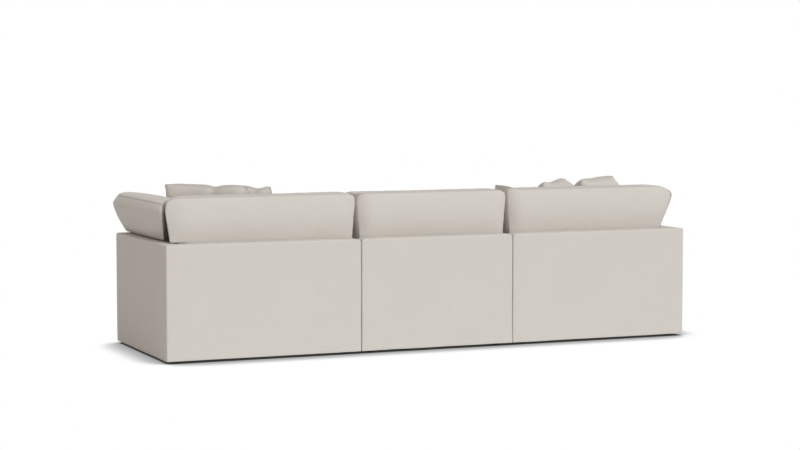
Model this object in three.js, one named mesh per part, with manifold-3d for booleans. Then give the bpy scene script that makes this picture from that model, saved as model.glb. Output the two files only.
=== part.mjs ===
// Sectional sofa with a chaise: a corner module, an armless module and a chaise module, held side by
// side by sliding clips. Each module is a timber frame with sinuous springs under a loose linen cover,
// and carries loose seat, back and arm cushions. Millimetres, +Z up, the seats face -Y, and the origin
// is on the floor at the middle of the whole sofa's box.
import * as THREE from "three";
import { mergeVertices } from "three/addons/utils/BufferGeometryUtils.js";
import Module from "manifold-3d";

const wasm = await Module();
wasm.setup();

// Overall sizes
const endModuleWidth = 1119;
const middleModuleWidth = 924;
const seatModuleDepth = 1000;
const chaiseDepth = 1650;
const moduleGap = 6;
const wallHeight = 638;
const wallThickness = 90;
const fitGap = 0.3;
const cutOverrun = 5;

// Slipcover
const hemHeight = 12.5;
const coverThickness = 3;
const coverEdgeRound = 15;
const coverCornerRound = 36;
const armEndRound = 26;

// Feet and dust cover
const footHeight = 13.5;
const footBaseRadius = 21;
const footTopRadius = 25;
const footInset = 75;
const dustCoverThickness = 1.2;

// Timber
const railHeight = 225;
const railThickness = 30;
const stretcherThickness = 24;
const stretcherDrop = 40;
const stretcherSpacing = 285;
const cornerBlock = 55;
const wallTimber = 45;
const wallPost = 48;
const wallRail = 58;
const wallGusset = 28;
const wallBay = 300;

// Padding round the wall timber
const outerPadding = 12;
const topPadding = 22;

// Springs and deck
const springWire = 4;
const springCount = 4;
const springPitch = 100;
const springHalfWidth = 34;
const springCrown = 8;
const springClipLength = 24;
const springClipWidth = 18;
const springClipHeight = 9;
const springEdge = 165;
const deckPadThickness = 14;

// Clips between modules
const clipPlateThickness = 3;
const clipPlateLength = 60;
const clipChannelWidth = 40;
const clipWall = 4;
const clipLip = 8;
const clipDrop = 10;
const clipClearance = 0.8;
const clipEdge = 24;
const clipFromEndShare = 0.2;
const bladeThickness = 2.4;
const bladeReach = 42;
const bladeTip = 8;

// Seat cushions
const seatThickness = 162;
const seatCrown = 25;
const seatCrownReach = 170;
const seatSideGap = 3;
const seatFrontGap = 14;
const seatSwell = 9;

// Back cushions
const backThickness = 200;
const backHeight = 458;
const backFrontCrown = 30;
const backRearCrown = 24;
const backCrownReach = 150;
const backEdge = 60;
const backSag = 5;
const backOpenDrop = 14;
const backArmDrop = 30;
const backTopSwell = 4;
const backGap = 3;
const backOpenInset = 14;
const backOpenFlare = 14;
const cornerBackArmFlare = 74;
const chaiseBackArmInset = 7;
const chaiseBackArmFlare = 68;
const cushionLedge = 10;

// Arm cushion of the corner module
const armCushionThickness = 175;
const armCushionBelowBack = 28;
const armCushionOverhang = 110;
const armCushionLean = 82;
const armCushionCrown = 14;
const armCushionTopSwell = 13;
const armCushionSeamRise = 4;
const armCushionCornerDraw = 45;
const armCushionFrontGap = 18;
const armCushionFrontFlare = 8;
const armCushionRearGap = 10;
const armCushionTuck = 40;

// Throw pillows
const largePillow = 543;
const smallPillow = 480;
const pillowThickness = 118;
const pillowEdge = 14;
const pillowSideDraw = 16;
const pillowTopDraw = 4;
const pillowBlunt = 14;
const pillowCrownReach = 215;
const cornerLargeFromEnd = 574;
const cornerLargeFromBack = 696;
const cornerSmallFromEnd = 714;
const cornerSmallFromBack = 696;
const chaiseSmallFromEnd = 682;
const chaiseSmallFromBack = 650;
const chaiseLargeFromEnd = 476;
const chaiseLargeFromBack = 706;

// Heights that follow from the stack of parts
const railFoot = footHeight + dustCoverThickness + 2 * fitGap;
const railTop = railFoot + railHeight;
const springTop = railTop + fitGap + (springClipHeight + springWire) / 2 + springCrown;
const deckPadFoot = springTop + fitGap;
const deckTop = deckPadFoot + deckPadThickness + fitGap + coverThickness;
const seatFoot = deckTop + fitGap;
const seatEdgeTop = seatFoot + seatThickness;
const seatTop = seatEdgeTop + seatCrown;
const cushionFoot = seatEdgeTop + fitGap;
const wallAboveCushionFoot = wallHeight - cushionFoot;
const armCushionHeight = backHeight - armCushionBelowBack;

// Widths and depths that follow
const wallLining = coverThickness + fitGap;
const timberInset = wallLining + outerPadding + fitGap;
const pressedDepth = wallThickness + backGap + backThickness + backFrontCrown + armCushionRearGap;
const pressedWidth = wallThickness + backGap + armCushionThickness + armCushionCrown + armCushionRearGap;
const sofaWidth = 2 * endModuleWidth + middleModuleWidth + 2 * moduleGap;

const linen = new THREE.MeshStandardMaterial({ color: 0xd0cac3, roughness: 0.95, metalness: 0 });
const timber = new THREE.MeshStandardMaterial({ color: 0xb89468, roughness: 0.8, metalness: 0 });
const wadding = new THREE.MeshStandardMaterial({ color: 0xeeeae2, roughness: 1, metalness: 0 });
const steel = new THREE.MeshStandardMaterial({ color: 0x8c8f93, roughness: 0.4, metalness: 1 });
const zinc = new THREE.MeshStandardMaterial({ color: 0xb4b6b8, roughness: 0.45, metalness: 1 });
const blackCloth = new THREE.MeshStandardMaterial({ color: 0x202022, roughness: 1, metalness: 0 });
const blackPlastic = new THREE.MeshStandardMaterial({ color: 0x1c1c1e, roughness: 0.6, metalness: 0 });

const clamp01 = (value) => Math.min(1, Math.max(0, value));
const ease = (value) => clamp01(value) ** 2 * (3 - 2 * clamp01(value));
const ramp = (distance, reach) => 1 - (1 - clamp01(distance / reach)) ** 2;

// A box between two corners
function block(from, to) {
  const size = to.map((end, axis) => end - from[axis]);
  const geometry = new THREE.BoxGeometry(...size);
  return geometry.translate(...to.map((end, axis) => (end + from[axis]) / 2));
}

// A closed geometry as a solid for cutting and joining
function toSolid(geometry) {
  const bare = new THREE.BufferGeometry();
  bare.setAttribute("position", geometry.getAttribute("position"));
  if (geometry.index) {
    bare.setIndex(geometry.index);
  }
  const welded = mergeVertices(bare);
  return new wasm.Manifold(
    new wasm.Mesh({
      numProp: 3,
      vertProperties: Float32Array.from(welded.attributes.position.array),
      triVerts: Uint32Array.from(welded.index.array),
    }),
  );
}

// A solid back as a geometry
function toGeometry(solid) {
  const { vertProperties, triVerts } = solid.getMesh();
  const geometry = new THREE.BufferGeometry();
  geometry.setAttribute("position", new THREE.BufferAttribute(vertProperties, 3));
  geometry.setIndex(new THREE.BufferAttribute(triVerts, 1));
  const faceted = geometry.toNonIndexed();
  faceted.computeVertexNormals();
  return faceted;
}

// A closed outline from a list of corners
function outlineOf(corners) {
  return new THREE.Shape(corners.map(([x, y]) => new THREE.Vector2(x, y)));
}

// An outline lying on the XY plane, raised from one height to another
function raise(shape, foot, top, curveSegments = 2) {
  const geometry = new THREE.ExtrudeGeometry(shape, {
    depth: top - foot,
    bevelEnabled: false,
    curveSegments,
  });
  return geometry.translate(0, 0, foot);
}

// An outline drawn on the XZ plane, carried along Y from the rear plane towards the front
function carryForward(shape, rear, front, round) {
  const geometry = new THREE.ExtrudeGeometry(shape, bevelled(rear - front, round));
  return geometry.translate(0, 0, round).rotateX(Math.PI / 2).translate(0, rear, 0);
}

// An outline drawn on the YZ plane, carried along X
const sideways = new THREE.Matrix4().makeBasis(
  new THREE.Vector3(0, 1, 0),
  new THREE.Vector3(0, 0, 1),
  new THREE.Vector3(1, 0, 0),
);
function carryAcross(shape, from, to, round) {
  const geometry = new THREE.ExtrudeGeometry(shape, bevelled(to - from, round));
  return geometry.translate(0, 0, round).applyMatrix4(sideways).translate(from, 0, 0);
}

function bevelled(length, round) {
  return {
    depth: length - 2 * round,
    bevelEnabled: round > 0,
    bevelThickness: round,
    bevelSize: round,
    bevelOffset: -round,
    bevelSegments: 2,
    curveSegments: 2,
  };
}

// One upright wall seen from its broad side: square at the foot and rounded at its two top corners
function wallOutline(from, to, foot, top, fromRound, toRound) {
  const outline = new THREE.Shape();
  outline.moveTo(from, foot);
  outline.lineTo(to, foot);
  outline.lineTo(to, top - toRound);
  outline.absarc(to - toRound, top - toRound, toRound, 0, Math.PI / 2);
  outline.lineTo(from + fromRound, top);
  outline.absarc(from + fromRound, top - fromRound, fromRound, Math.PI / 2, Math.PI);
  return outline;
}

// A module is described in its own frame: x from its middle, y from its back plane, z from the floor.
// arm is 1 or -1 for an arm on that side, and 0 for none. mirrorX turns a side into a signed x.
function backWall(module, inset, foot) {
  const half = module.width / 2 - inset;
  const leftRound = (module.arm < 0 ? armEndRound : coverCornerRound) - inset;
  const rightRound = (module.arm > 0 ? armEndRound : coverCornerRound) - inset;
  const outline = wallOutline(-half, half, foot, wallHeight - inset, leftRound, rightRound);
  return toSolid(carryForward(outline, -inset, inset - wallThickness, coverEdgeRound - inset));
}

function armWall(module, inset, foot) {
  const outline = wallOutline(
    inset - seatModuleDepth,
    -inset,
    foot,
    wallHeight - inset,
    coverCornerRound - inset,
    armEndRound - inset,
  );
  const outer = module.width / 2 - inset;
  const inner = module.width / 2 - wallThickness + inset;
  const [from, to] = module.arm > 0 ? [inner, outer] : [-outer, -inner];
  return toSolid(carryAcross(outline, from, to, coverEdgeRound - inset));
}

// The plan of the seat block, inset all round. Its rear and arm edges end inside the walls.
function seatPlan(module, inset, wallShare) {
  const open = module.width / 2 - inset;
  const shut = module.width / 2 - wallThickness * wallShare;
  const rear = -wallThickness * wallShare;
  const front = inset - module.depth;
  const step = wallThickness * (1 - wallShare) - seatModuleDepth;
  const left = module.arm < 0 ? -shut : -open;
  const right = module.arm > 0 ? shut : open;
  const corners = [[left, rear]];
  if (module.arm < 0 && module.depth > seatModuleDepth) {
    corners.push([left, step], [-open, step], [-open, front]);
  } else {
    corners.push([left, front]);
  }
  corners.push([right, front], [right, rear]);
  return corners;
}

// The seat block's own rounded front corners, on the sides that are open there
function seatBlock(module, inset, foot) {
  const plan = seatPlan(module, inset, 1 / 2);
  const round = coverEdgeRound - inset;
  const shape = new THREE.Shape();
  const front = inset - module.depth;
  shape.moveTo(...plan[0]);
  plan.slice(1).forEach(([x, y]) => {
    const open = Math.abs(x) === module.width / 2 - inset;
    if (y === front && open) {
      const centreX = x - Math.sign(x) * round;
      const start = x < 0 ? Math.PI : Math.PI * 1.5;
      shape.lineTo(x < 0 ? x : centreX, x < 0 ? y + round : y);
      shape.absarc(centreX, y + round, round, start, start + Math.PI / 2);
    } else {
      shape.lineTo(x, y);
    }
  });
  return toSolid(raise(shape, foot, deckTop - inset));
}

function moduleHull(module, inset, foot) {
  let hull = seatBlock(module, inset, foot).add(backWall(module, inset, foot));
  if (module.arm) {
    hull = hull.add(armWall(module, inset, foot));
  }
  return hull;
}

// Loose linen slipcover: one skin over the walls and the deck, open at the floor
const wellBelow = hemHeight - 3 * coverEdgeRound;
function slipcover(module) {
  return moduleHull(module, 0, wellBelow)
    .subtract(moduleHull(module, coverThickness, wellBelow - coverEdgeRound))
    .subtract(layer(module, 2 * wellBelow, hemHeight));
}

// Everything between two heights
function layer(module, low, high) {
  const reach = module.width + module.depth;
  return toSolid(block([-reach, -reach, low], [reach, reach, high]));
}

// The whole plan of a module inside its cover, between two heights
function footprint(module, low, high) {
  return moduleHull(module, wallLining, wellBelow).intersect(layer(module, low, high));
}

// Timber base: four rails, a spring rail in front of the back wall and stretchers from front to back,
// with blocks glued into every corner
function baseFrame(module) {
  const front = wallLining - module.depth + railThickness;
  const inner = module.width / 2 - wallLining - railThickness;
  const bays = [bay(-inner, inner, springRailFront + railThickness, -wallLining - railThickness)];
  const count = Math.round(module.width / stretcherSpacing);
  const span = (2 * inner + stretcherThickness) / count;
  for (let index = 0; index < count; index += 1) {
    const from = -inner + index * span;
    bays.push(bay(from, from + span - stretcherThickness, front, springRailFront, cornerBlock));
  }
  const relief = block(
    [-inner, front, railTop - stretcherDrop],
    [inner, springRailFront, railTop + cutOverrun],
  );
  return bays
    .map((shape) => toSolid(raise(shape, railFoot - cutOverrun, railTop + cutOverrun)))
    .reduce((frame, gap) => frame.subtract(gap), footprint(module, railFoot, railTop))
    .subtract(toSolid(relief));
}

const springRailFront = -wallThickness - railThickness;

// A rectangular gap in a frame, with its corners filled by glued blocks
function bay(left, right, low, high, filled = 0) {
  const gap = new THREE.Shape();
  gap.moveTo(left + filled, low);
  gap.lineTo(right - filled, low);
  if (filled > 0) {
    gap.lineTo(right, low + filled);
  }
  gap.lineTo(right, high - filled);
  if (filled > 0) {
    gap.lineTo(right - filled, high);
  }
  gap.lineTo(left + filled, high);
  if (filled > 0) {
    gap.lineTo(left, high - filled);
  }
  gap.lineTo(left, low + filled);
  return gap;
}

// Ladder of posts between a bottom and a top rail, with a gusset in every corner of its bays
function ladder(from, to) {
  const foot = railTop + fitGap;
  const top = wallHeight - wallLining - topPadding - fitGap;
  const shape = outlineOf([
    [from, foot],
    [to, foot],
    [to, top],
    [from, top],
  ]);
  const bays = Math.round((to - from) / wallBay);
  const span = (to - from - wallPost) / bays;
  for (let index = 0; index < bays; index += 1) {
    const left = from + wallPost + index * span;
    shape.holes.push(bay(left, left + span - wallPost, foot + wallRail, top - wallRail, wallGusset));
  }
  return shape;
}

function backFrame(module) {
  const half = module.width / 2 - timberInset;
  return toSolid(carryForward(ladder(-half, half), -timberInset, -timberInset - wallTimber, 0));
}

function armFrame(module) {
  const shape = ladder(timberInset - seatModuleDepth, wallLining - wallThickness - fitGap);
  const outer = module.width / 2 - timberInset;
  const [from, to] = module.arm > 0 ? [outer - wallTimber, outer] : [-outer, wallTimber - outer];
  return toSolid(carryAcross(shape, from, to, 0));
}

// Wadding wrapped over the wall timber as an upside-down U, open where it stands on the base rails
function backPadding(module) {
  const half = module.width / 2 - timberInset + fitGap;
  const slot = block(
    [-half, -timberInset - wallTimber - fitGap, railFoot],
    [half, fitGap - timberInset, wallHeight - wallLining - topPadding],
  );
  return trimToRails(module, backWall(module, wallLining, railFoot)).subtract(toSolid(slot));
}

function armPadding(module) {
  const outer = module.width / 2 - timberInset + fitGap;
  const inner = outer - wallTimber - 2 * fitGap;
  const [from, to] = module.arm > 0 ? [inner, outer] : [-outer, -inner];
  const slot = block(
    [from, timberInset - fitGap - seatModuleDepth, railFoot],
    [to, cutOverrun, wallHeight - wallLining - topPadding],
  );
  const backPaddingFront = wallLining - wallThickness;
  const behind = block(
    [-module.width, backPaddingFront - fitGap, 0],
    [module.width, cutOverrun, 2 * wallHeight],
  );
  return trimToRails(module, armWall(module, wallLining, railFoot))
    .subtract(toSolid(behind))
    .subtract(toSolid(slot));
}

function trimToRails(module, solid) {
  const below = block([-module.width, -2 * module.depth, 0], [module.width, cutOverrun, railTop + fitGap]);
  return solid.subtract(toSolid(below));
}

// Padded deck under the seat cushion, and the black cloth that closes the frame underneath
function deckPad(module) {
  const top = deckPadFoot + deckPadThickness;
  const plan = outlineOf(seatPlan(module, wallLining, 1));
  return footprint(module, deckPadFoot, top).intersect(toSolid(raise(plan, 0, 2 * top)));
}

function dustCover(module) {
  const low = footHeight + fitGap;
  return footprint(module, low, low + dustCoverThickness);
}

// One sinuous spring: a wire that swings from side to side as it runs from the front rail to the
// spring rail, arched upwards in the middle
class SinuousWire extends THREE.Curve {
  constructor(x, front, rear) {
    super();
    this.x = x;
    this.front = front;
    this.rear = rear;
    this.waves = Math.round((rear - front) / springPitch);
  }

  getPoint(share, target = new THREE.Vector3()) {
    const turn = 2 * Math.PI * this.waves * share;
    const lag = (loopFullness * Math.sin(2 * turn)) / (4 * Math.PI * this.waves);
    const along = clamp01(share - lag);
    return target.set(
      this.x + springHalfWidth * Math.sin(turn),
      this.front + (this.rear - this.front) * along,
      springHeight(along),
    );
  }

  getPointAt(share, target) {
    return this.getPoint(share, target);
  }

  getTangentAt(share, target) {
    return this.getTangent(share, target);
  }
}
const loopFullness = 0.85;
const stepsPerWave = 6;

function springHeight(share) {
  const clipMiddle = railTop + fitGap + springClipHeight / 2;
  return clipMiddle + springCrown * (1 - (2 * share - 1) ** 2);
}

// Four sinuous springs, each held in a steel clip on the front rail and one on the spring rail, and
// two straight wires that tie them together
function springs(module) {
  const front = wallLining - module.depth + railThickness / 2;
  const rear = springRailFront + railThickness / 2;
  const armSide = module.arm * (wallThickness - wallLining);
  const left = -module.width / 2 + springEdge + Math.max(0, -armSide);
  const right = module.width / 2 - springEdge - Math.max(0, armSide);
  const section = new THREE.Shape().absarc(0, 0, springWire / 2, 0, 2 * Math.PI);
  const places = Array.from({ length: springCount }, (_, index) =>
    THREE.MathUtils.lerp(left, right, index / (springCount - 1)),
  );
  const wires = places.map((x) => {
    const path = new SinuousWire(x, front, rear);
    const steps = path.waves * stepsPerWave;
    return toSolid(new THREE.ExtrudeGeometry(section, { steps, curveSegments: 2, extrudePath: path }));
  });
  const clips = places.flatMap((x) =>
    [front, rear].map((y) =>
      toSolid(
        block(
          [x - springClipWidth / 2, y - springClipLength / 2, railTop + fitGap],
          [x + springClipWidth / 2, y + springClipLength / 2, railTop + fitGap + springClipHeight],
        ),
      ),
    ),
  );
  const ties = tieShares.map((share) => {
    const length = right - left + 2 * springHalfWidth;
    const wire = new THREE.CylinderGeometry(springWire / 2, springWire / 2, length, 4);
    wire.rotateZ(Math.PI / 2);
    wire.translate((left + right) / 2, THREE.MathUtils.lerp(front, rear, share), springHeight(share));
    return toSolid(wire);
  });
  return [...wires, ...clips, ...ties].reduce((whole, piece) => whole.add(piece));
}
const tieShares = [1 / 3, 2 / 3];

// Plastic glide: a short cone, wider where it meets the frame
function foot() {
  const profile = [
    [0, 0],
    [footBaseRadius, 0],
    [footTopRadius, footHeight],
    [0, footHeight],
  ].map(([x, y]) => new THREE.Vector2(x, y));
  return new THREE.LatheGeometry(profile, 14).rotateX(Math.PI / 2);
}

// Channel of a sliding clip, under the dust cover: a plate with two turned-in lips, mouth towards side
function clipChannel(side) {
  const halfInside = clipChannelWidth / 2;
  const halfOutside = halfInside + clipWall;
  const under = footHeight - clipPlateThickness;
  const lipTop = footHeight - clipDrop + clipPlateThickness / 2;
  const lipFoot = footHeight - clipDrop;
  const profile = outlineOf([
    [-halfOutside, footHeight],
    [-halfOutside, lipFoot],
    [clipLip - halfInside, lipFoot],
    [clipLip - halfInside, lipTop],
    [-halfInside, lipTop],
    [-halfInside, under],
    [halfInside, under],
    [halfInside, lipTop],
    [halfInside - clipLip, lipTop],
    [halfInside - clipLip, lipFoot],
    [halfOutside, lipFoot],
    [halfOutside, footHeight],
  ]);
  const mouth = side * (middleModuleWidth / 2 - wallLining - fitGap);
  const [from, to] = side > 0 ? [mouth - clipPlateLength, mouth] : [mouth, mouth + clipPlateLength];
  return carryAcross(profile, from, to, 0);
}

// Blade of a sliding clip: a plate under the end module, stepped down into a tongue with a cut-back tip
function clipBlade(module, side) {
  const lipTop = footHeight - clipDrop + clipPlateThickness / 2;
  const plateFoot = footHeight - clipPlateThickness;
  const tongueFoot = (lipTop + plateFoot - bladeThickness) / 2;
  const edge = module.width / 2 - wallLining - clipEdge;
  const tip = module.width / 2 + bladeReach;
  const profile = outlineOf([
    [edge - clipPlateLength, footHeight],
    [edge - clipPlateLength, plateFoot],
    [edge - clipPlateThickness, plateFoot],
    [edge - clipPlateThickness, tongueFoot],
    [tip, tongueFoot],
    [tip, tongueFoot + bladeThickness],
    [edge + clipPlateThickness, tongueFoot + bladeThickness],
    [edge + clipPlateThickness, footHeight],
  ]);
  const halfWidth = clipChannelWidth / 2 - clipClearance;
  const plate = toSolid(carryForward(profile, halfWidth, -halfWidth, 0));
  const tipCuts = [1, -1].map((hand) => {
    const corner = outlineOf([
      [tip - bladeTip, hand * (halfWidth + cutOverrun)],
      [tip - bladeTip, hand * halfWidth],
      [tip + cutOverrun, hand * (halfWidth - bladeTip - cutOverrun)],
      [tip + cutOverrun, hand * (halfWidth + cutOverrun)],
    ]);
    return toSolid(raise(corner, 0, footHeight + cutOverrun));
  });
  const blade = toGeometry(plate.subtract(tipCuts[0]).subtract(tipCuts[1]));
  return side > 0 ? blade : blade.rotateZ(Math.PI);
}

// Closed upholstered form over a grid of us by vs, from a low panel at t = 0 to a high panel at t = 1,
// with rows of rim points between them. keep drops the cells of a notch.
function upholster(us, vs, rimRows, place, keep = () => true) {
  const columns = us.length - 1;
  const rows = vs.length - 1;
  const kept = (i, j) => i >= 0 && j >= 0 && i < columns && j < rows && keep(i, j);
  const positions = [];
  const known = new Map();
  const vertex = (i, j, level) => {
    const key = `${i} ${j} ${level}`;
    if (!known.has(key)) {
      known.set(key, positions.length / 3);
      positions.push(...place(us[i], vs[j], level / rimRows));
    }
    return known.get(key);
  };
  const faces = [];
  const quad = (a, b, c, d) => faces.push(a, b, c, a, c, d);
  for (let i = 0; i < columns; i += 1) {
    for (let j = 0; j < rows; j += 1) {
      if (kept(i, j)) {
        const ring = [
          [i, j],
          [i + 1, j],
          [i + 1, j + 1],
          [i, j + 1],
        ];
        const beside = [kept(i, j - 1), kept(i + 1, j), kept(i, j + 1), kept(i - 1, j)];
        quad(...ring.map(([a, b]) => vertex(a, b, rimRows)));
        quad(...ring.map(([a, b]) => vertex(a, b, 0)).reverse());
        ring.forEach(([a, b], side) => {
          const [c, d] = ring[(side + 1) % ring.length];
          for (let level = 0; level < rimRows && !beside[side]; level += 1) {
            quad(vertex(a, b, level), vertex(c, d, level), vertex(c, d, level + 1), vertex(a, b, level + 1));
          }
        });
      }
    }
  }
  const geometry = new THREE.BufferGeometry();
  geometry.setAttribute("position", new THREE.Float32BufferAttribute(positions, 3));
  geometry.setIndex(faces);
  geometry.computeVertexNormals();
  return geometry;
}

// Evenly spaced lines through a list of places, with a number of steps for each stretch
function lines(places, steps) {
  const all = [places[0]];
  steps.forEach((count, stretch) => {
    for (let step = 1; step <= count; step += 1) {
      all.push(THREE.MathUtils.lerp(places[stretch], places[stretch + 1], step / count));
    }
  });
  return all;
}

// Seat cushion: flat where it rests and where the back and arm cushions press it, crowned between,
// with its front boxing swelling forward. The chaise's cushion steps out in front of the arm.
function seatCushion(module) {
  const open = module.width / 2 - seatSideGap;
  const shut = module.width / 2 - wallThickness - seatSideGap;
  const rear = -wallThickness - backGap;
  const front = seatFrontGap - module.depth;
  const stepped = module.arm < 0;
  const right = module.arm > 0 ? shut : open;
  const pressedRight = module.arm > 0 ? module.width / 2 - pressedWidth : right;
  const armFront = -seatModuleDepth - seatSideGap;
  const us = stepped
    ? lines([-open, -shut, right], [1, 8])
    : lines(module.arm > 0 ? [-open, pressedRight, right] : [-open, right], module.arm > 0 ? [8, 1] : [8]);
  const vs = stepped
    ? lines([front, armFront, -pressedDepth, rear], [6, 5, 1])
    : lines([front, -pressedDepth, rear], [7, 1]);
  const place = (u, v, t) => {
    const across = (2 * u) / module.width;
    const nearFront = ramp(u + open, seatCrownReach) * ramp(v - front, seatCrownReach);
    const nearRear = ramp(pressedRight - u, seatCrownReach) * ramp(-pressedDepth - v, seatCrownReach);
    const beside = u + shut;
    const ahead = armFront - v;
    const notch = stepped && v > armFront ? ramp(beside, seatCrownReach) : 1;
    const shoulder = stepped && v <= armFront ? ramp(Math.hypot(Math.max(0, beside), ahead), seatCrownReach) : 1;
    const crown = seatCrown * nearFront * nearRear * notch * shoulder;
    const middle = 4 * t * (1 - t);
    const swell = v === front ? seatSwell * middle * (1 - across ** 4) : 0;
    return [u, v - swell, seatFoot + seatThickness * t + (t === 1 ? crown : 0)];
  };
  return upholster(us, vs, 2, place, (i, j) => !(stepped && i === 0 && vs[j] >= armFront));
}

// Share of the full flare or overhang that a cushion has at a height above its foot: none beside the
// wall, a first part of it where it lies on the wall's top, all of it at the shoulder, and a little
// less at the top seam
function flareShare(height, top, ledgeShare) {
  const above = height - wallAboveCushionFoot - cutOverrun;
  const rise = clamp01((above - cushionLedge) / ((top - wallAboveCushionFoot) * flareShoulderShare));
  const past = (above / (top - wallAboveCushionFoot) - flareShoulderShare) / (1 - flareShoulderShare);
  const lean = rise + flareBulgeShare * rise * (1 - rise);
  return ledgeShare * ease(above / cushionLedge) + (1 - ledgeShare) * lean - flareReturnShare * ease(past);
}
const flareShoulderShare = 0.76;
const flareReturnShare = 0.2;
const flareBulgeShare = 0.3;
const cornerBackLedgeShare = 0.5;
const armCushionLedgeShare = 0.33;

// Back cushion: stands on the seat cushion behind the wall's inner face, crowned on both panels,
// wider above the wall than between the arms, with a sagging top and dropped corners
function backCushion(module) {
  const armInset = wallThickness + (module.arm > 0 ? backGap : chaiseBackArmInset);
  const armFlare = module.arm > 0 ? cornerBackArmFlare : chaiseBackArmFlare;
  const left = -module.width / 2 + (module.arm < 0 ? armInset : backOpenInset);
  const right = module.width / 2 - (module.arm > 0 ? armInset : backOpenInset);
  const leftFlare = module.arm < 0 ? armFlare : backOpenFlare;
  const rightFlare = module.arm > 0 ? armFlare : backOpenFlare;
  const rear = -wallThickness - backGap;
  const leftDrop = module.arm < 0 ? backArmDrop : backOpenDrop;
  const us = lines([left, left + backEdge, right - backEdge, right], [1, 8, 1]);
  const ledge = wallAboveCushionFoot + cutOverrun;
  const vs = lines([0, ledge, ledge + cushionLedge, backHeight], [1, 1, 5]);
  const place = (u, v, t) => {
    const across = (2 * u - left - right) / (right - left);
    const onArm = module.arm > 0 && across > 0;
    const share = flareShare(v, backHeight, onArm ? cornerBackLedgeShare : 0);
    const flare = share * Math.abs(across) ** 3 * (across < 0 ? -leftFlare : rightFlare);
    const ends = ramp(u - left, backCrownReach) * ramp(right - u, backCrownReach);
    const crown = ends * ramp(backHeight - v, backCrownReach);
    const rearCrown = backRearCrown * crown * flareShare(v, backHeight, 0);
    const frontCrown = backFrontCrown * crown * ramp(v, backCrownReach);
    const topShare = ease((v - wallAboveCushionFoot) / (backHeight - wallAboveCushionFoot));
    const drop = (across < 0 ? leftDrop : backOpenDrop) * Math.abs(across) ** 20;
    const lowered = topShare * (backSag * (1 - across ** 2) + drop);
    const swell = v === backHeight ? backTopSwell * 4 * t * (1 - t) : 0;
    const y = rear - backThickness * t + (t === 0 ? rearCrown : 0) - (t === 1 ? frontCrown : 0);
    return [u + flare, y, cushionFoot + v - lowered + swell];
  };
  return upholster(us, vs, 2, place);
}

// Arm cushion: stands beside the arm wall and leans out over it, with a crowned top boxing and its
// rear end tucked in beside the back cushion
function armCushion(module) {
  const outer = module.width / 2 - wallThickness - backGap;
  const front = armCushionFrontGap - seatModuleDepth;
  const rear = -pressedDepth;
  const us = lines([front, rear], [7]);
  const ledge = wallAboveCushionFoot + cutOverrun;
  const vs = lines([0, ledge, ledge + cushionLedge, armCushionHeight], [1, 1, 5]);
  const place = (u, v, t) => {
    const outerShare = flareShare(v, armCushionHeight, armCushionLedgeShare);
    const innerShare = flareShare(v, armCushionHeight, 0);
    const tuck = armCushionTuck * (1 - ramp(rear - u, backCrownReach));
    const lean = t * outerShare * (armCushionOverhang - tuck) + (1 - t) * innerShare * armCushionLean;
    const ends = ramp(u - front, backCrownReach) * ramp(rear - u, backCrownReach);
    const crown = t === 0 ? armCushionCrown * ends * ramp(v, backCrownReach) : 0;
    const frontFlare = armCushionFrontFlare * outerShare * ease((rear - u) / (rear - front));
    const atTop = v === armCushionHeight;
    const swell = atTop ? armCushionTopSwell * 4 * t * (1 - t) + armCushionSeamRise * (1 - t) : 0;
    const draw = atTop && u === front ? armCushionCornerDraw : 0;
    const x = outer - armCushionThickness * (1 - t) + lean - crown - (draw * t) / 2;
    return [x, u - frontFlare + draw, cushionFoot + v + swell];
  };
  return upholster(us, vs, 2, place);
}

// Throw pillow standing on its lower edge, which its weight presses straight: two crowned panels that
// meet in a thin edge, with sides that pull in a little between its four blunt corners
function pillow(size) {
  const half = size / 2;
  const us = lines([-half, half], [8]);
  const vs = lines([0, size], [8]);
  const place = (u, v, t) => {
    const across = u / half;
    const up = v / half - 1;
    const crown = ramp(half - Math.abs(u), pillowCrownReach) * ramp(half - Math.abs(v - half), pillowCrownReach);
    const depth = pillowEdge / 2 + ((pillowThickness - pillowEdge) / 2) * crown;
    const blunt = pillowBlunt * (across * up) ** 12;
    const x = u - across * (pillowSideDraw * (1 - up ** 2) + blunt);
    const z = v - up * ((up > 0 ? pillowTopDraw * (1 - across ** 2) : 0) + blunt);
    return [x, depth * (1 - 2 * t), z];
  };
  return upholster(us, vs, 1, place);
}

// Adds a named piece to a group
function add(group, name, shape, material, position = [0, 0, 0], rotation = [0, 0, 0]) {
  const geometry = shape.isBufferGeometry ? shape : toGeometry(shape);
  const mesh = new THREE.Mesh(geometry, material);
  mesh.name = name;
  mesh.position.set(...position);
  mesh.rotation.set(...rotation, "ZXY");
  group.add(mesh);
  return mesh;
}

// Where the feet stand: near the corners, with one more pair under the front of the chaise
function footPlaces(module) {
  const x = module.width / 2 - footInset;
  const rows = new Set([-footInset, footInset - seatModuleDepth, footInset - module.depth]);
  return [...rows].flatMap((y) => [
    [x, y],
    [-x, y],
  ]);
}

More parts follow.
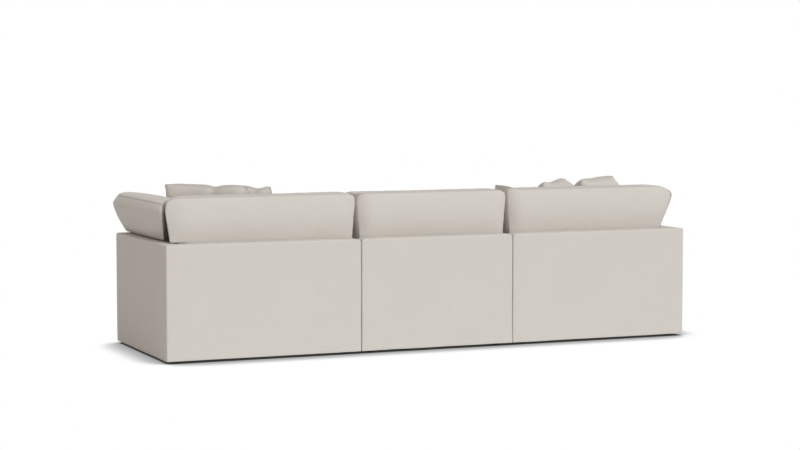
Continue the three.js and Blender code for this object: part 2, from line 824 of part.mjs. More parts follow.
function buildModule(module) {
  const group = new THREE.Group();
  add(group, `${module.name}_base_frame`, baseFrame(module), timber);
  add(group, `${module.name}_back_frame`, backFrame(module), timber);
  add(group, `${module.name}_springs`, springs(module), steel);
  add(group, `${module.name}_back_padding`, backPadding(module), wadding);
  add(group, `${module.name}_deck_pad`, deckPad(module), wadding);
  add(group, `${module.name}_dust_cover`, dustCover(module), blackCloth);
  add(group, `${module.name}_slipcover`, slipcover(module), linen);
  if (module.arm) {
    add(group, `${module.name}_arm_frame`, armFrame(module), timber);
    add(group, `${module.name}_arm_padding`, armPadding(module), wadding);
  }
  footPlaces(module).forEach(([x, y], index) => {
    add(group, `${module.name}_foot_${index + 1}`, foot(), blackPlastic, [x, y, 0]);
  });
  add(group, `${module.name}_seat_cushion`, seatCushion(module), linen);
  add(group, `${module.name}_back_cushion`, backCushion(module), linen);
  if (module.arm > 0) {
    add(group, `${module.name}_arm_cushion`, armCushion(module), linen);
  }
  return group;
}

// Lowers a mesh until its nearest point lies just above the mesh under it
function settle(mesh, support) {
  sofa.updateMatrixWorld(true);
  const points = mesh.geometry.getAttribute("position");
  const down = new THREE.Vector3(0, 0, -1);
  const drops = Array.from({ length: points.count }, (_, index) => {
    const point = new THREE.Vector3().fromBufferAttribute(points, index).applyMatrix4(mesh.matrixWorld);
    const [hit] = new THREE.Raycaster(point, down).intersectObject(support);
    return hit ? hit.distance : Infinity;
  });
  mesh.position.z -= Math.min(...drops) - fitGap;
}

const corner = { name: "corner", width: endModuleWidth, depth: seatModuleDepth, arm: 1 };
const middle = { name: "middle", width: middleModuleWidth, depth: seatModuleDepth, arm: 0 };
const chaise = { name: "chaise", width: endModuleWidth, depth: chaiseDepth, arm: -1 };

const backPlane = chaiseDepth / 2;
const endModuleX = (middleModuleWidth + endModuleWidth) / 2 + moduleGap;

const sofa = new THREE.Group();
const placedModules = [
  [corner, endModuleX],
  [middle, 0],
  [chaise, -endModuleX],
].map(([module, x]) => {
  const group = buildModule(module);
  group.position.set(x, backPlane, 0);
  sofa.add(group);
  return group;
});

// Clips on both seams, near the front and the back of the modules
const [cornerGroup, middleGroup, chaiseGroup] = placedModules;
[1, -1].forEach((side) => {
  const seam = side > 0 ? "corner" : "chaise";
  ["rear", "front"].forEach((place, index) => {
    const share = index ? 1 - clipFromEndShare : clipFromEndShare;
    const position = [0, -seatModuleDepth * share, 0];
    add(middleGroup, `${seam}_${place}_clip`, clipChannel(side), zinc, position);
    const outer = side > 0 ? cornerGroup : chaiseGroup;
    add(outer, `${seam}_${place}_blade`, clipBlade(corner, -side), zinc, position);
  });
});

// Throw pillows, two in each end: the large one leans into the corner and the small one leans on it.
// The middle of its lower edge stands at its place, from its end of the sofa and from the back plane.
const pillowPlaces = [
  ["corner_large_pillow", 1, largePillow, cornerLargeFromEnd, cornerLargeFromBack, -46, 29],
  ["corner_small_pillow", 1, smallPillow, cornerSmallFromEnd, cornerSmallFromBack, -53, 17],
  ["chaise_small_pillow", -1, smallPillow, chaiseSmallFromEnd, chaiseSmallFromBack, 46, 18],
  ["chaise_large_pillow", -1, largePillow, chaiseLargeFromEnd, chaiseLargeFromBack, 40, 30],
];
pillowPlaces.forEach(([name, side, size, fromEnd, fromBack, turn, lean]) => {
  const tilt = THREE.MathUtils.degToRad(lean);
  const yaw = THREE.MathUtils.degToRad(turn);
  const position = [side * (sofaWidth / 2 - fromEnd), backPlane - fromBack, seatTop + pillowEdge];
  const mesh = add(sofa, name, pillow(size), linen, position, [-tilt, 0, yaw]);
  settle(mesh, sofa.getObjectByName(`${name.split("_")[0]}_seat_cushion`));
});

// The arm cushion overhangs the +X end, so the sofa moves aside until its box is centred
sofa.position.x = -new THREE.Box3().setFromObject(sofa).getCenter(new THREE.Vector3()).x;

export default sofa;
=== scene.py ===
import math

import bpy
import numpy as np
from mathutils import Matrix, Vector, noise


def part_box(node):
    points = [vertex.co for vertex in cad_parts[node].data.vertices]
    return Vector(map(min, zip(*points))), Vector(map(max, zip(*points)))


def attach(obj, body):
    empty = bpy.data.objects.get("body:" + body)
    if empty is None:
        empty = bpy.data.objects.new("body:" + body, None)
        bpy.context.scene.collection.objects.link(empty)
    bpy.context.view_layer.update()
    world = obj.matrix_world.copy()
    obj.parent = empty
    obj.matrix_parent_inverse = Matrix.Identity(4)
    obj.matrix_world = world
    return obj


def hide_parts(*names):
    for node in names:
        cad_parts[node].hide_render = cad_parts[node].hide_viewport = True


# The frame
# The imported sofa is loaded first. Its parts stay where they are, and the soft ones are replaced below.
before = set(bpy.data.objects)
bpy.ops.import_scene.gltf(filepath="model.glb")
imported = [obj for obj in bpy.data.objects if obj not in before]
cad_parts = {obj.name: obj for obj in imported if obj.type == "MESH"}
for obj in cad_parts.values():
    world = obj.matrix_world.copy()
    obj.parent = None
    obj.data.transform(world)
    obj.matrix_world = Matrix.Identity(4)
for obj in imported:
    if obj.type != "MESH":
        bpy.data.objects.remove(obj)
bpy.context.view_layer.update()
bpy.ops.object.select_all(action="DESELECT")
scene = bpy.context.scene
scene.view_settings.view_transform = "Standard"

# Camera
# It stands well behind the sofa, towards the corner module's end and above the cushions, and looks a
# little down at the outer back through a long lens.
LENS_MM = 93.549
SENSOR_MM = 36
CAMERA_AT = Vector((4.741, 11.444, 1.5629))
CAMERA_AIM = Vector((-0.3901, -0.9178, -0.0738))
camera_data = bpy.data.cameras.new("camera")
camera_data.lens = LENS_MM
camera_data.sensor_width = SENSOR_MM
camera_data.clip_end = 100
camera = bpy.data.objects.new("camera", camera_data)
scene.collection.objects.link(camera)
camera.location = CAMERA_AT
camera.rotation_mode = "QUATERNION"
camera.rotation_quaternion = CAMERA_AIM.to_track_quat("-Z", "Y")
scene.camera = camera

# Studio
# A pale floor under a white sky. A soft light stands behind the camera, on the chaise's side, and the
# sky fills the rest. The camera sees the floor white, with a painted soft shadow close to what stands on it:
# the floor glows for the camera, and the glow dims near anything standing on it.
FLOOR_SIZE = 120
FLOOR_COLOUR = (0.86, 0.86, 0.86, 1)
SHADOW_REACH = 0.3
SHADOW_STEPS = ((0, 0.03), (0.3, 0.06), (0.5, 0.37), (0.63, 0.54), (0.72, 0.76), (0.81, 1))
SKY_SHADE = (0.455, 0.42, 0.4, 1)
WHITE = (1, 1, 1, 1)
LIGHT_FROM = Vector((-0.2, 0.74, 0.62))
LIGHT_SPREAD = math.radians(50)
LIGHT_STRENGTH = 2.03
LIGHT_COLOUR = (0.915, 0.976, 1)


def node_row(tree, names):
    """Adds one node of each kind and returns them in order."""
    return [tree.nodes.new(name) for name in names]


bpy.ops.mesh.primitive_plane_add(size=FLOOR_SIZE)
floor = bpy.context.object
floor.name = "floor"
floor_paint = bpy.data.materials.new("floor paint")
floor_paint.use_nodes = True
tree = floor_paint.node_tree
tree.nodes.clear()
path, matt, openness, steps, floor_painted_shadow, either, out = node_row(
    tree,
    [
        "ShaderNodeLightPath",
        "ShaderNodeBsdfDiffuse",
        "ShaderNodeAmbientOcclusion",
        "ShaderNodeValToRGB",
        "ShaderNodeEmission",
        "ShaderNodeMixShader",
        "ShaderNodeOutputMaterial",
    ],
)
matt.inputs["Color"].default_value = FLOOR_COLOUR
# Painted shadow: the glow the camera sees steps down with how closed in the floor is within reach.
openness.inputs["Distance"].default_value = SHADOW_REACH
for number, (place, level) in enumerate(SHADOW_STEPS):
    step = steps.color_ramp.elements[number] if number < 2 else steps.color_ramp.elements.new(place)
    step.position = place
    step.color = (level, level, level, 1)
tree.links.new(openness.outputs["AO"], steps.inputs["Fac"])
tree.links.new(steps.outputs["Color"], floor_painted_shadow.inputs["Color"])
tree.links.new(path.outputs["Is Camera Ray"], either.inputs["Fac"])
tree.links.new(matt.outputs[0], either.inputs[1])
tree.links.new(floor_painted_shadow.outputs[0], either.inputs[2])
tree.links.new(either.outputs[0], out.inputs["Surface"])
floor.data.materials.append(floor_paint)

world = bpy.data.worlds.new("white sky")
scene.world = world
world.use_nodes = True
tree = world.node_tree
tree.nodes.clear()
path, seen, any_seen, tint, sky, out = node_row(
    tree,
    [
        "ShaderNodeLightPath",
        "ShaderNodeMath",
        "ShaderNodeMath",
        "ShaderNodeMix",
        "ShaderNodeBackground",
        "ShaderNodeOutputWorld",
    ],
)
seen.operation = "MAXIMUM"
any_seen.operation = "MAXIMUM"
tint.data_type = "RGBA"
tint.inputs["A"].default_value = SKY_SHADE
tint.inputs["B"].default_value = WHITE
tree.links.new(path.outputs["Is Camera Ray"], seen.inputs[0])
tree.links.new(path.outputs["Is Glossy Ray"], seen.inputs[1])
tree.links.new(seen.outputs[0], any_seen.inputs[0])
tree.links.new(path.outputs["Is Transmission Ray"], any_seen.inputs[1])
tree.links.new(any_seen.outputs[0], tint.inputs["Factor"])
tree.links.new(tint.outputs["Result"], sky.inputs["Color"])
tree.links.new(sky.outputs[0], out.inputs["Surface"])

light_data = bpy.data.lights.new("soft light", "SUN")
light_data.angle = LIGHT_SPREAD
light_data.energy = LIGHT_STRENGTH
light_data.color = LIGHT_COLOUR
light = bpy.data.objects.new("soft light", light_data)
scene.collection.objects.link(light)
light.rotation_mode = "QUATERNION"
light.rotation_quaternion = (-LIGHT_FROM).to_track_quat("-Z", "Y")

# Slipcovers
# One loose linen skin over each module, cut like a box without a floor: outer back, arm, the strip over
# the walls, the inner walls, the deck and the fronts. It is sewn inside out, so that its edges are
# sharp, and its hem hangs free above the floor. Next to another module it bulges a little.
WALL = 0.09
WALL_TOP = 0.638
DECK_TOP = 0.2699
HEM = 0.0125
ARM_LENGTH = 1.0
EDGE_ROUND = 0.0075
CORNER_ROUND = 0.022
SIDE_SWELL = 0.0018
CLOTH = 0.0026
PANEL_CELL = 0.034
HEM_FOLD = 0.026
SEAM_DEPTH = 0.0007
SEAM_HALF = 0.0014
COVER_RIPPLE = 0.0012
COVER_RIPPLE_SIZE = 0.21
HEM_WAVE = 0.003
HEM_WAVE_SIZE = 0.17
HEM_REACH = 0.11
HEM_LIFT = 0.0012
HEM_LIFT_SIZE = 0.3
HEM_WAVE_STRETCH = (1, 1, 0.2)
LEVEL_RIPPLE_SHARE = 0.6
SHARP_ANGLE = math.radians(40)
SMOOTH_ANGLE = math.radians(50)
ALONG_AXIS = 0.999
NEARLY_ALONG = 0.9
TINY = 1e-4
LINEN_PALE = (0.648, 0.607, 0.561, 1)
LINEN_DEEP = (0.588, 0.546, 0.499, 1)
# Painted shade for the seams: the cloth is darkened towards this colour where a seam's groove would lie in
# shadow.
LINEN_SEAM_PAINTED_SHADE = (0.3, 0.27, 0.235, 1)
LINEN_THREAD = 0.0011
LINEN_RELIEF = 0.0004
LINEN_SHEEN = 0.12
LINEN_SHEEN_ROUGH = 0.6
LINEN_SPECULAR = 0.25
X_AXIS, Y_AXIS, Z_AXIS = 0, 1, 2
UNITS = (Vector((1, 0, 0)), Vector((0, 1, 0)), Vector((0, 0, 1)))


def start_block(name, low, high):
    """A box between two corners, with its place in its mesh, alone in the selection."""
    bpy.ops.object.select_all(action="DESELECT")
    low, high = Vector(low), Vector(high)
    bpy.ops.mesh.primitive_cube_add(size=1, location=(low + high) / 2, scale=high - low)
    block = bpy.context.object
    block.name = name
    block.data.name = name
    bpy.ops.object.transform_apply(location=True, rotation=True, scale=True)
    return block


def cut_at(piece, axis, places):
    """Cuts a mesh right round with planes across one axis."""
    bpy.context.view_layer.objects.active = piece
    bpy.ops.object.mode_set(mode="EDIT")
    for place in places:
        bpy.ops.mesh.select_all(action="SELECT")
        bpy.ops.mesh.bisect(plane_co=UNITS[axis] * place, plane_no=UNITS[axis])
    bpy.ops.mesh.select_all(action="DESELECT")
    bpy.ops.object.mode_set(mode="OBJECT")


def pick_nothing(mesh):
    for part in (mesh.vertices, mesh.edges, mesh.polygons):
        part.foreach_set("select", [False] * len(part))


def pick_faces(piece, chosen):
    """Selects the faces whose middle and normal fit, ready for an edit mode operator."""
    mesh = piece.data
    pick_nothing(mesh)
    for face in mesh.polygons:
        face.select = chosen(face.center, face.normal)
    bpy.context.view_layer.objects.active = piece
    bpy.ops.object.mode_set(mode="EDIT")
    bpy.ops.mesh.select_mode(type="FACE")


def divide_long_edges(piece, cell):
    """Divides the edges that run along each axis until the mesh is a grid of about one cell size."""
    bpy.context.view_layer.objects.active = piece
    for axis in (X_AXIS, Y_AXIS, Z_AXIS):
        cuts = cuts_wanted(piece, axis, cell)
        while cuts.max() > 0:
            most = cuts.max()
            pick_nothing(piece.data)
            piece.data.edges.foreach_set("select", cuts == most)
            bpy.ops.object.mode_set(mode="EDIT")
            bpy.ops.mesh.select_mode(type="EDGE")
            bpy.ops.mesh.subdivide(number_cuts=int(most))
            bpy.ops.mesh.select_all(action="DESELECT")
            bpy.ops.object.mode_set(mode="OBJECT")
            cuts = cuts_wanted(piece, axis, cell)


def cuts_wanted(piece, axis, cell):
    """How many cuts each edge along one axis still needs. Other edges need none."""
    mesh = piece.data
    ends = np.empty(len(mesh.edges) * 2, dtype=np.int32)
    mesh.edges.foreach_get("vertices", ends)
    points = coordinates(piece)
    gaps = points[ends[1::2]] - points[ends[0::2]]
    lengths = np.linalg.norm(gaps, axis=1)
    along = np.abs(gaps[:, axis]) > ALONG_AXIS * lengths
    return np.where(along, np.rint(lengths / cell).astype(int) - 1, 0)


def coordinates(piece):
    points = np.empty(len(piece.data.vertices) * 3)
    piece.data.vertices.foreach_get("co", points)
    return points.reshape(-1, 3)


def normals(piece):
    ways = np.empty(len(piece.data.vertices) * 3, dtype=np.float32)
    piece.data.vertex_normals.foreach_get("vector", ways)
    return ways.reshape(-1, 3).astype(float)


def move_to(piece, points):
    piece.data.vertices.foreach_set("co", np.asarray(points, dtype=np.float32).ravel())
    piece.data.update()


def rumple(points, size, shift=0):
    """Soft random heights from -1 to 1 over a mesh, with bumps of about one size."""
    return np.array([noise.noise(Vector(point) / size + Vector((shift, shift, shift))) for point in points])


def apply_modifier(piece, kind, **settings):
    modifier = piece.modifiers.new(kind, kind)
    for name, value in settings.items():
        setattr(modifier, name, value)
    bpy.context.view_layer.objects.active = piece
    bpy.ops.object.modifier_apply(modifier=modifier.name)


def lay_out_cloth(piece):
    """Gives each panel a flat map in metres, so that the weave follows the cloth."""
    pick_faces(piece, lambda centre, normal: True)
    bpy.ops.uv.cube_project(cube_size=1, correct_aspect=False, scale_to_bounds=False)
    bpy.ops.mesh.select_all(action="DESELECT")
    bpy.ops.object.mode_set(mode="OBJECT")


def smooth_faces(piece, angle=SMOOTH_ANGLE):
    bpy.ops.object.select_all(action="DESELECT")
    piece.select_set(True)
    bpy.context.view_layer.objects.active = piece
    bpy.ops.object.shade_smooth_by_angle(angle=angle)
    piece.select_set(False)


def group_nodes(name, inputs, outputs):
    """An empty shader group with its named sockets."""
    group = bpy.data.node_groups.new(name, "ShaderNodeTree")
    for label, kind in inputs:
        group.interface.new_socket(name=label, in_out="INPUT", socket_type=kind)
    for label, kind in outputs:
        group.interface.new_socket(name=label, in_out="OUTPUT", socket_type=kind)
    return group, group.nodes.new("NodeGroupInput"), group.nodes.new("NodeGroupOutput")


def math_node(tree, operation, first, second):
    node = tree.nodes.new("ShaderNodeMath")
    node.operation = operation
    for socket, value in zip(node.inputs, (first, second)):
        if isinstance(value, (int, float)):
            socket.default_value = value
        else:
            tree.links.new(value, socket)
    return node.outputs[0]


def noise_node(tree, vector, scale, detail):
    node = tree.nodes.new("ShaderNodeTexNoise")
    node.inputs["Scale"].default_value = scale
    node.inputs["Detail"].default_value = detail
    tree.links.new(vector, node.inputs["Vector"])
    return node.outputs["Fac"]


def stretched(tree, vector, scale):
    node = tree.nodes.new("ShaderNodeMapping")
    node.inputs["Scale"].default_value = scale
    tree.links.new(vector, node.inputs["Vector"])
    return node.outputs["Vector"]


def mix_colours(tree, amount, first, second):
    node = tree.nodes.new("ShaderNodeMix")
    node.data_type = "RGBA"
    tree.links.new(amount, node.inputs["Factor"])
    for socket, value in ((node.inputs["A"], first), (node.inputs["B"], second)):
        tree.links.new(value, socket)
    return node.outputs["Result"]


# Plain weave of slubby linen: two sets of threads cross, and thicker stretches of yarn run with them
SLUB_STRETCH = (14, 420, 1)
CROSS_SLUB_STRETCH = (420, 14, 1)
CLOUD_SCALE = 3.2
SLUB_SHARE = 0.55
CLOUD_SHARE = 0.35
CROSSING_SHARE = 0.12
TONE_START = 0.4
TONE_GAIN = 1.6
CROSSING_HEIGHT_SHARE = 0.35
SLUB_HEIGHT_SHARE = 0.5
THREAD_ROUGH = 0.88
SLUB_ROUGH = 0.06
WEAVE, weave_in, weave_out = group_nodes(
    "plain linen weave",
    [
        ("Vector", "NodeSocketVector"),
        ("Thread", "NodeSocketFloat"),
        ("Pale", "NodeSocketColor"),
        ("Deep", "NodeSocketColor"),
    ],
    [("Colour", "NodeSocketColor"), ("Height", "NodeSocketFloat"), ("Roughness", "NodeSocketFloat")],
)
apart = WEAVE.nodes.new("ShaderNodeSeparateXYZ")
WEAVE.links.new(weave_in.outputs["Vector"], apart.inputs[0])
turns = math_node(WEAVE, "DIVIDE", math.tau / 2, weave_in.outputs["Thread"])
warp = math_node(WEAVE, "SINE", math_node(WEAVE, "MULTIPLY", apart.outputs["X"], turns), 0)
weft = math_node(WEAVE, "SINE", math_node(WEAVE, "MULTIPLY", apart.outputs["Y"], turns), 0)
crossing = math_node(WEAVE, "MULTIPLY", warp, weft)
long_slubs = noise_node(WEAVE, stretched(WEAVE, weave_in.outputs["Vector"], SLUB_STRETCH), 1, 2)
cross_slubs = noise_node(WEAVE, stretched(WEAVE, weave_in.outputs["Vector"], CROSS_SLUB_STRETCH), 1, 2)
slubs = math_node(WEAVE, "ADD", long_slubs, cross_slubs)
clouds = noise_node(WEAVE, weave_in.outputs["Vector"], CLOUD_SCALE, 3)
slub_tone = math_node(WEAVE, "MULTIPLY", slubs, SLUB_SHARE)
cloud_tone = math_node(WEAVE, "MULTIPLY", clouds, CLOUD_SHARE)
crossing_tone = math_node(WEAVE, "MULTIPLY", crossing, CROSSING_SHARE)
tone = math_node(WEAVE, "ADD", math_node(WEAVE, "ADD", slub_tone, cloud_tone), crossing_tone)
shade = math_node(WEAVE, "MULTIPLY", math_node(WEAVE, "SUBTRACT", tone, TONE_START), TONE_GAIN)
colour = mix_colours(WEAVE, shade, weave_in.outputs["Pale"], weave_in.outputs["Deep"])
crossing_height = math_node(WEAVE, "MULTIPLY", crossing, CROSSING_HEIGHT_SHARE)
slub_height = math_node(WEAVE, "MULTIPLY", slubs, SLUB_HEIGHT_SHARE)
height = math_node(WEAVE, "ADD", crossing_height, slub_height)
roughness = math_node(WEAVE, "ADD", THREAD_ROUGH, math_node(WEAVE, "MULTIPLY", slubs, SLUB_ROUGH))
WEAVE.links.new(colour, weave_out.inputs["Colour"])
WEAVE.links.new(height, weave_out.inputs["Height"])
WEAVE.links.new(roughness, weave_out.inputs["Roughness"])


def linen(name):
    """Woven linen in two close tones, matt with a faint bloom. A piece's seam attribute paints shade into
    the colour along its seams.
    """
    material = bpy.data.materials.new(name)
    material.use_nodes = True
    tree = material.node_tree
    shader = tree.nodes["Principled BSDF"]
    cloth_map, weave, bump, seams, seam_painted_shade = node_row(
        tree,
        [
            "ShaderNodeUVMap",
            "ShaderNodeGroup",
            "ShaderNodeBump",
            "ShaderNodeAttribute",
            "ShaderNodeMix",
        ],
    )
    # Painted shade: the seam attribute darkens the weave colour towards the seam shade along the seams.
    seams.attribute_name = "seam"
    seam_painted_shade.data_type = "RGBA"
    seam_painted_shade.inputs["B"].default_value = LINEN_SEAM_PAINTED_SHADE
    weave.node_tree = WEAVE
    weave.inputs["Thread"].default_value = LINEN_THREAD
    weave.inputs["Pale"].default_value = LINEN_PALE
    weave.inputs["Deep"].default_value = LINEN_DEEP
    bump.inputs["Distance"].default_value = LINEN_RELIEF
    shader.inputs["Sheen Weight"].default_value = LINEN_SHEEN
    shader.inputs["Sheen Roughness"].default_value = LINEN_SHEEN_ROUGH
    shader.inputs["Specular IOR Level"].default_value = LINEN_SPECULAR
    tree.links.new(cloth_map.outputs["UV"], weave.inputs["Vector"])
    tree.links.new(seams.outputs["Fac"], seam_painted_shade.inputs["Factor"])
    tree.links.new(weave.outputs["Colour"], seam_painted_shade.inputs["A"])
    tree.links.new(seam_painted_shade.outputs["Result"], shader.inputs["Base Color"])
    tree.links.new(weave.outputs["Roughness"], shader.inputs["Roughness"])
    tree.links.new(weave.outputs["Height"], bump.inputs["Height"])
    tree.links.new(bump.outputs["Normal"], shader.inputs["Normal"])
    return material


cover_linen = linen("slipcover linen")


def slipcover(name, arm):
    """The arm is 1 on the module's +X side, -1 on its -X side and 0 where there is none."""
    low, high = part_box(f"{name}_slipcover")
    back_face = high[Y_AXIS] - WALL
    arm_front = high[Y_AXIS] - ARM_LENGTH
    arm_face = high[X_AXIS] - WALL if arm > 0 else low[X_AXIS] + WALL
    left = low[X_AXIS] - (SIDE_SWELL if arm >= 0 else 0)
    right = high[X_AXIS] + (SIDE_SWELL if arm <= 0 else 0)
    cover = start_block(f"{name}_cover", (left, low[Y_AXIS], HEM), (right, high[Y_AXIS], DECK_TOP))
    cut_at(cover, Y_AXIS, [back_face] + ([arm_front] if arm < 0 else []))
    if arm:
        cut_at(cover, X_AXIS, [arm_face])

    def under_wall(centre, normal):
        in_arm = arm and (centre[X_AXIS] - arm_face) * arm > 0 and centre[Y_AXIS] > arm_front
        return normal[Z_AXIS] > 0.5 and (centre[Y_AXIS] > back_face or in_arm)

    pick_faces(cover, under_wall)
    bpy.ops.mesh.extrude_region_move(TRANSFORM_OT_translate={"value": (0, 0, WALL_TOP - DECK_TOP)})
    bpy.ops.object.mode_set(mode="OBJECT")
    pick_faces(cover, lambda centre, normal: normal[Z_AXIS] < -0.5)
    bpy.ops.mesh.delete(type="FACE")
    bpy.ops.object.mode_set(mode="OBJECT")
    round_wall_ends(cover, arm, left, right, arm_front)
    rounding = {"width": EDGE_ROUND, "segments": 3, "limit_method": "ANGLE", "angle_limit": SHARP_ANGLE}
    apply_modifier(cover, "BEVEL", **rounding)
    hem_seam = HEM + HEM_FOLD
    cut_evenly(cover, X_AXIS, sorted([left, right] + ([arm_face] if arm else [])))
    cut_evenly(cover, Y_AXIS, [low[Y_AXIS]] + ([arm_front] if arm < 0 else []) + [back_face, high[Y_AXIS]])
    cut_evenly(cover, Z_AXIS, [hem_seam, DECK_TOP, WALL_TOP])
    cut_at(cover, Z_AXIS, [hem_seam - SEAM_HALF, hem_seam, hem_seam + SEAM_HALF])
    lay_out_cloth(cover)
    points = coordinates(cover)
    outward = normals(cover)
    sunk = np.abs(points[:, Z_AXIS] - hem_seam) < SEAM_HALF / 2
    nearness = np.clip(1 - (points[:, Z_AXIS] - HEM) / HEM_REACH, 0, 1) ** 2
    waves = rumple(points * HEM_WAVE_STRETCH, HEM_WAVE_SIZE, 3)
    ripples = COVER_RIPPLE * rumple(points, COVER_RIPPLE_SIZE)
    heave = ripples + HEM_WAVE * nearness * waves - SEAM_DEPTH * sunk
    share = np.where(np.abs(outward[:, Z_AXIS]) < 0.5, 1, LEVEL_RIPPLE_SHARE)
    points += outward * heave[:, None] * share[:, None]
    points[:, Z_AXIS] += HEM_LIFT * (0.5 + rumple(points, HEM_LIFT_SIZE, 7)) * nearness
    move_to(cover, points)
    apply_modifier(cover, "SOLIDIFY", thickness=CLOTH, offset=-1)
    apply_modifier(cover, "SUBSURF", levels=1, render_levels=1)
    smooth_faces(cover)
    cover.data.materials.append(cover_linen)
    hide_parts(f"{name}_slipcover")
    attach(cover, f"{name}_module")


def cut_evenly(piece, axis, stations):
    """Cuts a mesh into even rows between stations, clear of the rounded edges there."""
    for start, end in zip(stations, stations[1:]):
        rows = max(2, round((end - start) / PANEL_CELL))
        cut_at(piece, axis, list(np.linspace(start + EDGE_ROUND, end - EDGE_ROUND, rows + 1))[1:-1])


def round_wall_ends(cover, arm, left, right, arm_front):
    """Rounds the two top corners of each wall end more than the long edges."""
    mesh = cover.data
    pick_nothing(mesh)
    for edge in mesh.edges:
        start, end = (mesh.vertices[index].co for index in edge.vertices)
        middle = (start + end) / 2
        way = (end - start).normalized()
        on_top = abs(middle.z - WALL_TOP) < TINY
        open_ends = [x for x, side in ((left, -1), (right, 1)) if arm != side]
        back_end = abs(way.y) > NEARLY_ALONG and any(abs(middle.x - x) < TINY for x in open_ends)
        arm_end = arm and abs(way.x) > NEARLY_ALONG and abs(middle.y - arm_front) < TINY
        edge.select = bool(on_top and (back_end or arm_end))
    bpy.context.view_layer.objects.active = cover
    bpy.ops.object.mode_set(mode="EDIT")
    bpy.ops.mesh.select_mode(type="EDGE")
    bpy.ops.mesh.bevel(offset=CORNER_ROUND, segments=4, affect="EDGES")
    bpy.ops.mesh.select_all(action="DESELECT")
    bpy.ops.object.mode_set(mode="OBJECT")


slipcover("corner", 1)
slipcover("middle", 0)
slipcover("chaise", -1)

# Back cushions
# Foam and fibre in a linen case: two large panels sewn to a boxing strip. Each stands on the seat behind
# its own wall, and above the wall it swells out over it and towards its neighbours. At the corner it
# meets the arm cushion on a slant.
CUSHION_CELL = 0.0145
SEAM_RING = 0.005
CUSHION_GAP = 0.003
BACK_THICK = 0.2
BACK_TALL = 0.458
BACK_FRONT_CROWN = 0.03
BACK_REAR_CROWN = 0.014
CROWN_REACH = 0.15
BACK_SAG = 0.005
BACK_TOP_SWELL = 0.002
BACK_ROUND = 0.085
WALL_CLEARANCE = 0.003
LEDGE = 0.003
RETURN_SHARE = 0.2
BULGE_SHARE = 0.3
BACK_GIVE = 0.004
FREE_HEIGHT = 0.12
FOOT_ROUND_SHARE = 0.75
FREE_EDGE = 0.04
FOOT_RISE = 0.08
CORNER_BEND = 1.15
FLARE_BEND = 3
END_DRAW_SHARE = 0.5
INNER_END = {
    "gap": 0.009,
    "flare": 0.02,
    "first": 0,
    "drop": 0.02,
    "reach": 0.035,
    "back": 0,
    "shoulder": 0.8,
    "round": 0.012,
}
OUTER_END = {**INNER_END, "gap": 0.017, "flare": 0.013, "drop": 0.006, "shoulder": 0.76, "round": 0.032}
CHAISE_OUTER_END = {**OUTER_END, "drop": -0.02, "reach": 0.07}
CORNER_ARM_END = {
    "gap": 0.093,
    "flare": 0.076,
    "first": 0.6,
    "drop": 0.012,
    "reach": 0.05,
    "back": 0.087,
    "shoulder": 0.76,
    "round": 0.02,
}
CHAISE_ARM_END = {
    "gap": 0.097,
    "flare": 0.084,
    "first": 0,
    "drop": 0.034,
    "reach": 0.052,
    "back": 0,
    "shoulder": 0.93,
    "round": 0.016,
}
LEDGE_SHARES = (0, 0.33, 0.67, 1, 3.5)
CASE_SEAM = 0.003
# The groove depth at which a seam gets the full painted shade.
SHADED_SEAM = 0.009
PUCKER = 0.0013
PUCKER_SIZE = 0.034
PUCKER_REACH = 0.032
PUCKER_SLANT = 0.7
PUCKER_DEPTH_PLACE = 2.3
CASE_RUMPLE = 0.0022
CASE_RUMPLE_SIZE = 0.16
CUSHION_PRESSURE = 4
SIM_FRAMES = 16
CASE_SMOOTH_ANGLE = math.radians(60)
cushion_linen = linen("cushion linen")


def clamp01(value):
    return np.clip(value, 0, 1)


def ramp(distance, reach):
    return 1 - (1 - clamp01(distance / reach)) ** 2


def ease(value):
    return clamp01(value) ** 2 * (3 - 2 * clamp01(value))


def flare_share(height, wall, top, first_share, shoulder):
    """None of the flare beside the wall, a first part on its top, all at the shoulder, less at the seam."""
    above = height - wall - WALL_CLEARANCE
    rise = clamp01((above - LEDGE) / ((top - wall) * shoulder))
    past = (above / (top - wall) - shoulder) / (1 - shoulder)
    lean = rise + BULGE_SHARE * rise * (1 - rise)
    return first_share * ease(above / LEDGE) + (1 - first_share) * lean - RETURN_SHARE * ease(past)


def ledge_rows():
    """The heights of the close rows where a cushion steps out over the top of a wall."""
    return [WALL_TOP + WALL_CLEARANCE + LEDGE * share for share in LEDGE_SHARES]


def inflate(piece, reach, hold):
    """Blows the case up a little against its seams, as stuffing does. reach caps how far a point may
    move, and hold is 0 where the cushion rests on something."""
    start = coordinates(piece)
    modifier = piece.modifiers.new("Cloth", "CLOTH")
    settings = modifier.settings
    settings.quality = 5
    settings.mass = 0.3
    settings.tension_stiffness = 12
    settings.compression_stiffness = 12
    settings.shear_stiffness = 4
    settings.bending_stiffness = 0.4
    settings.use_pressure = True
    settings.uniform_pressure_force = CUSHION_PRESSURE
    settings.effector_weights.gravity = 0
    modifier.collision_settings.use_collision = False
    modifier.point_cache.frame_start = 1
    modifier.point_cache.frame_end = SIM_FRAMES
    for number in range(1, SIM_FRAMES + 1):
        scene.frame_set(number)
    bpy.context.view_layer.objects.active = piece
    bpy.ops.object.modifier_apply(modifier=modifier.name)
    scene.frame_set(1)
    shift = coordinates(piece) - start
    length = np.linalg.norm(shift, axis=1)
    shift *= (np.minimum(length, reach) / np.maximum(length, 1e-9))[:, None]
    move_to(piece, start + shift * hold[:, None])


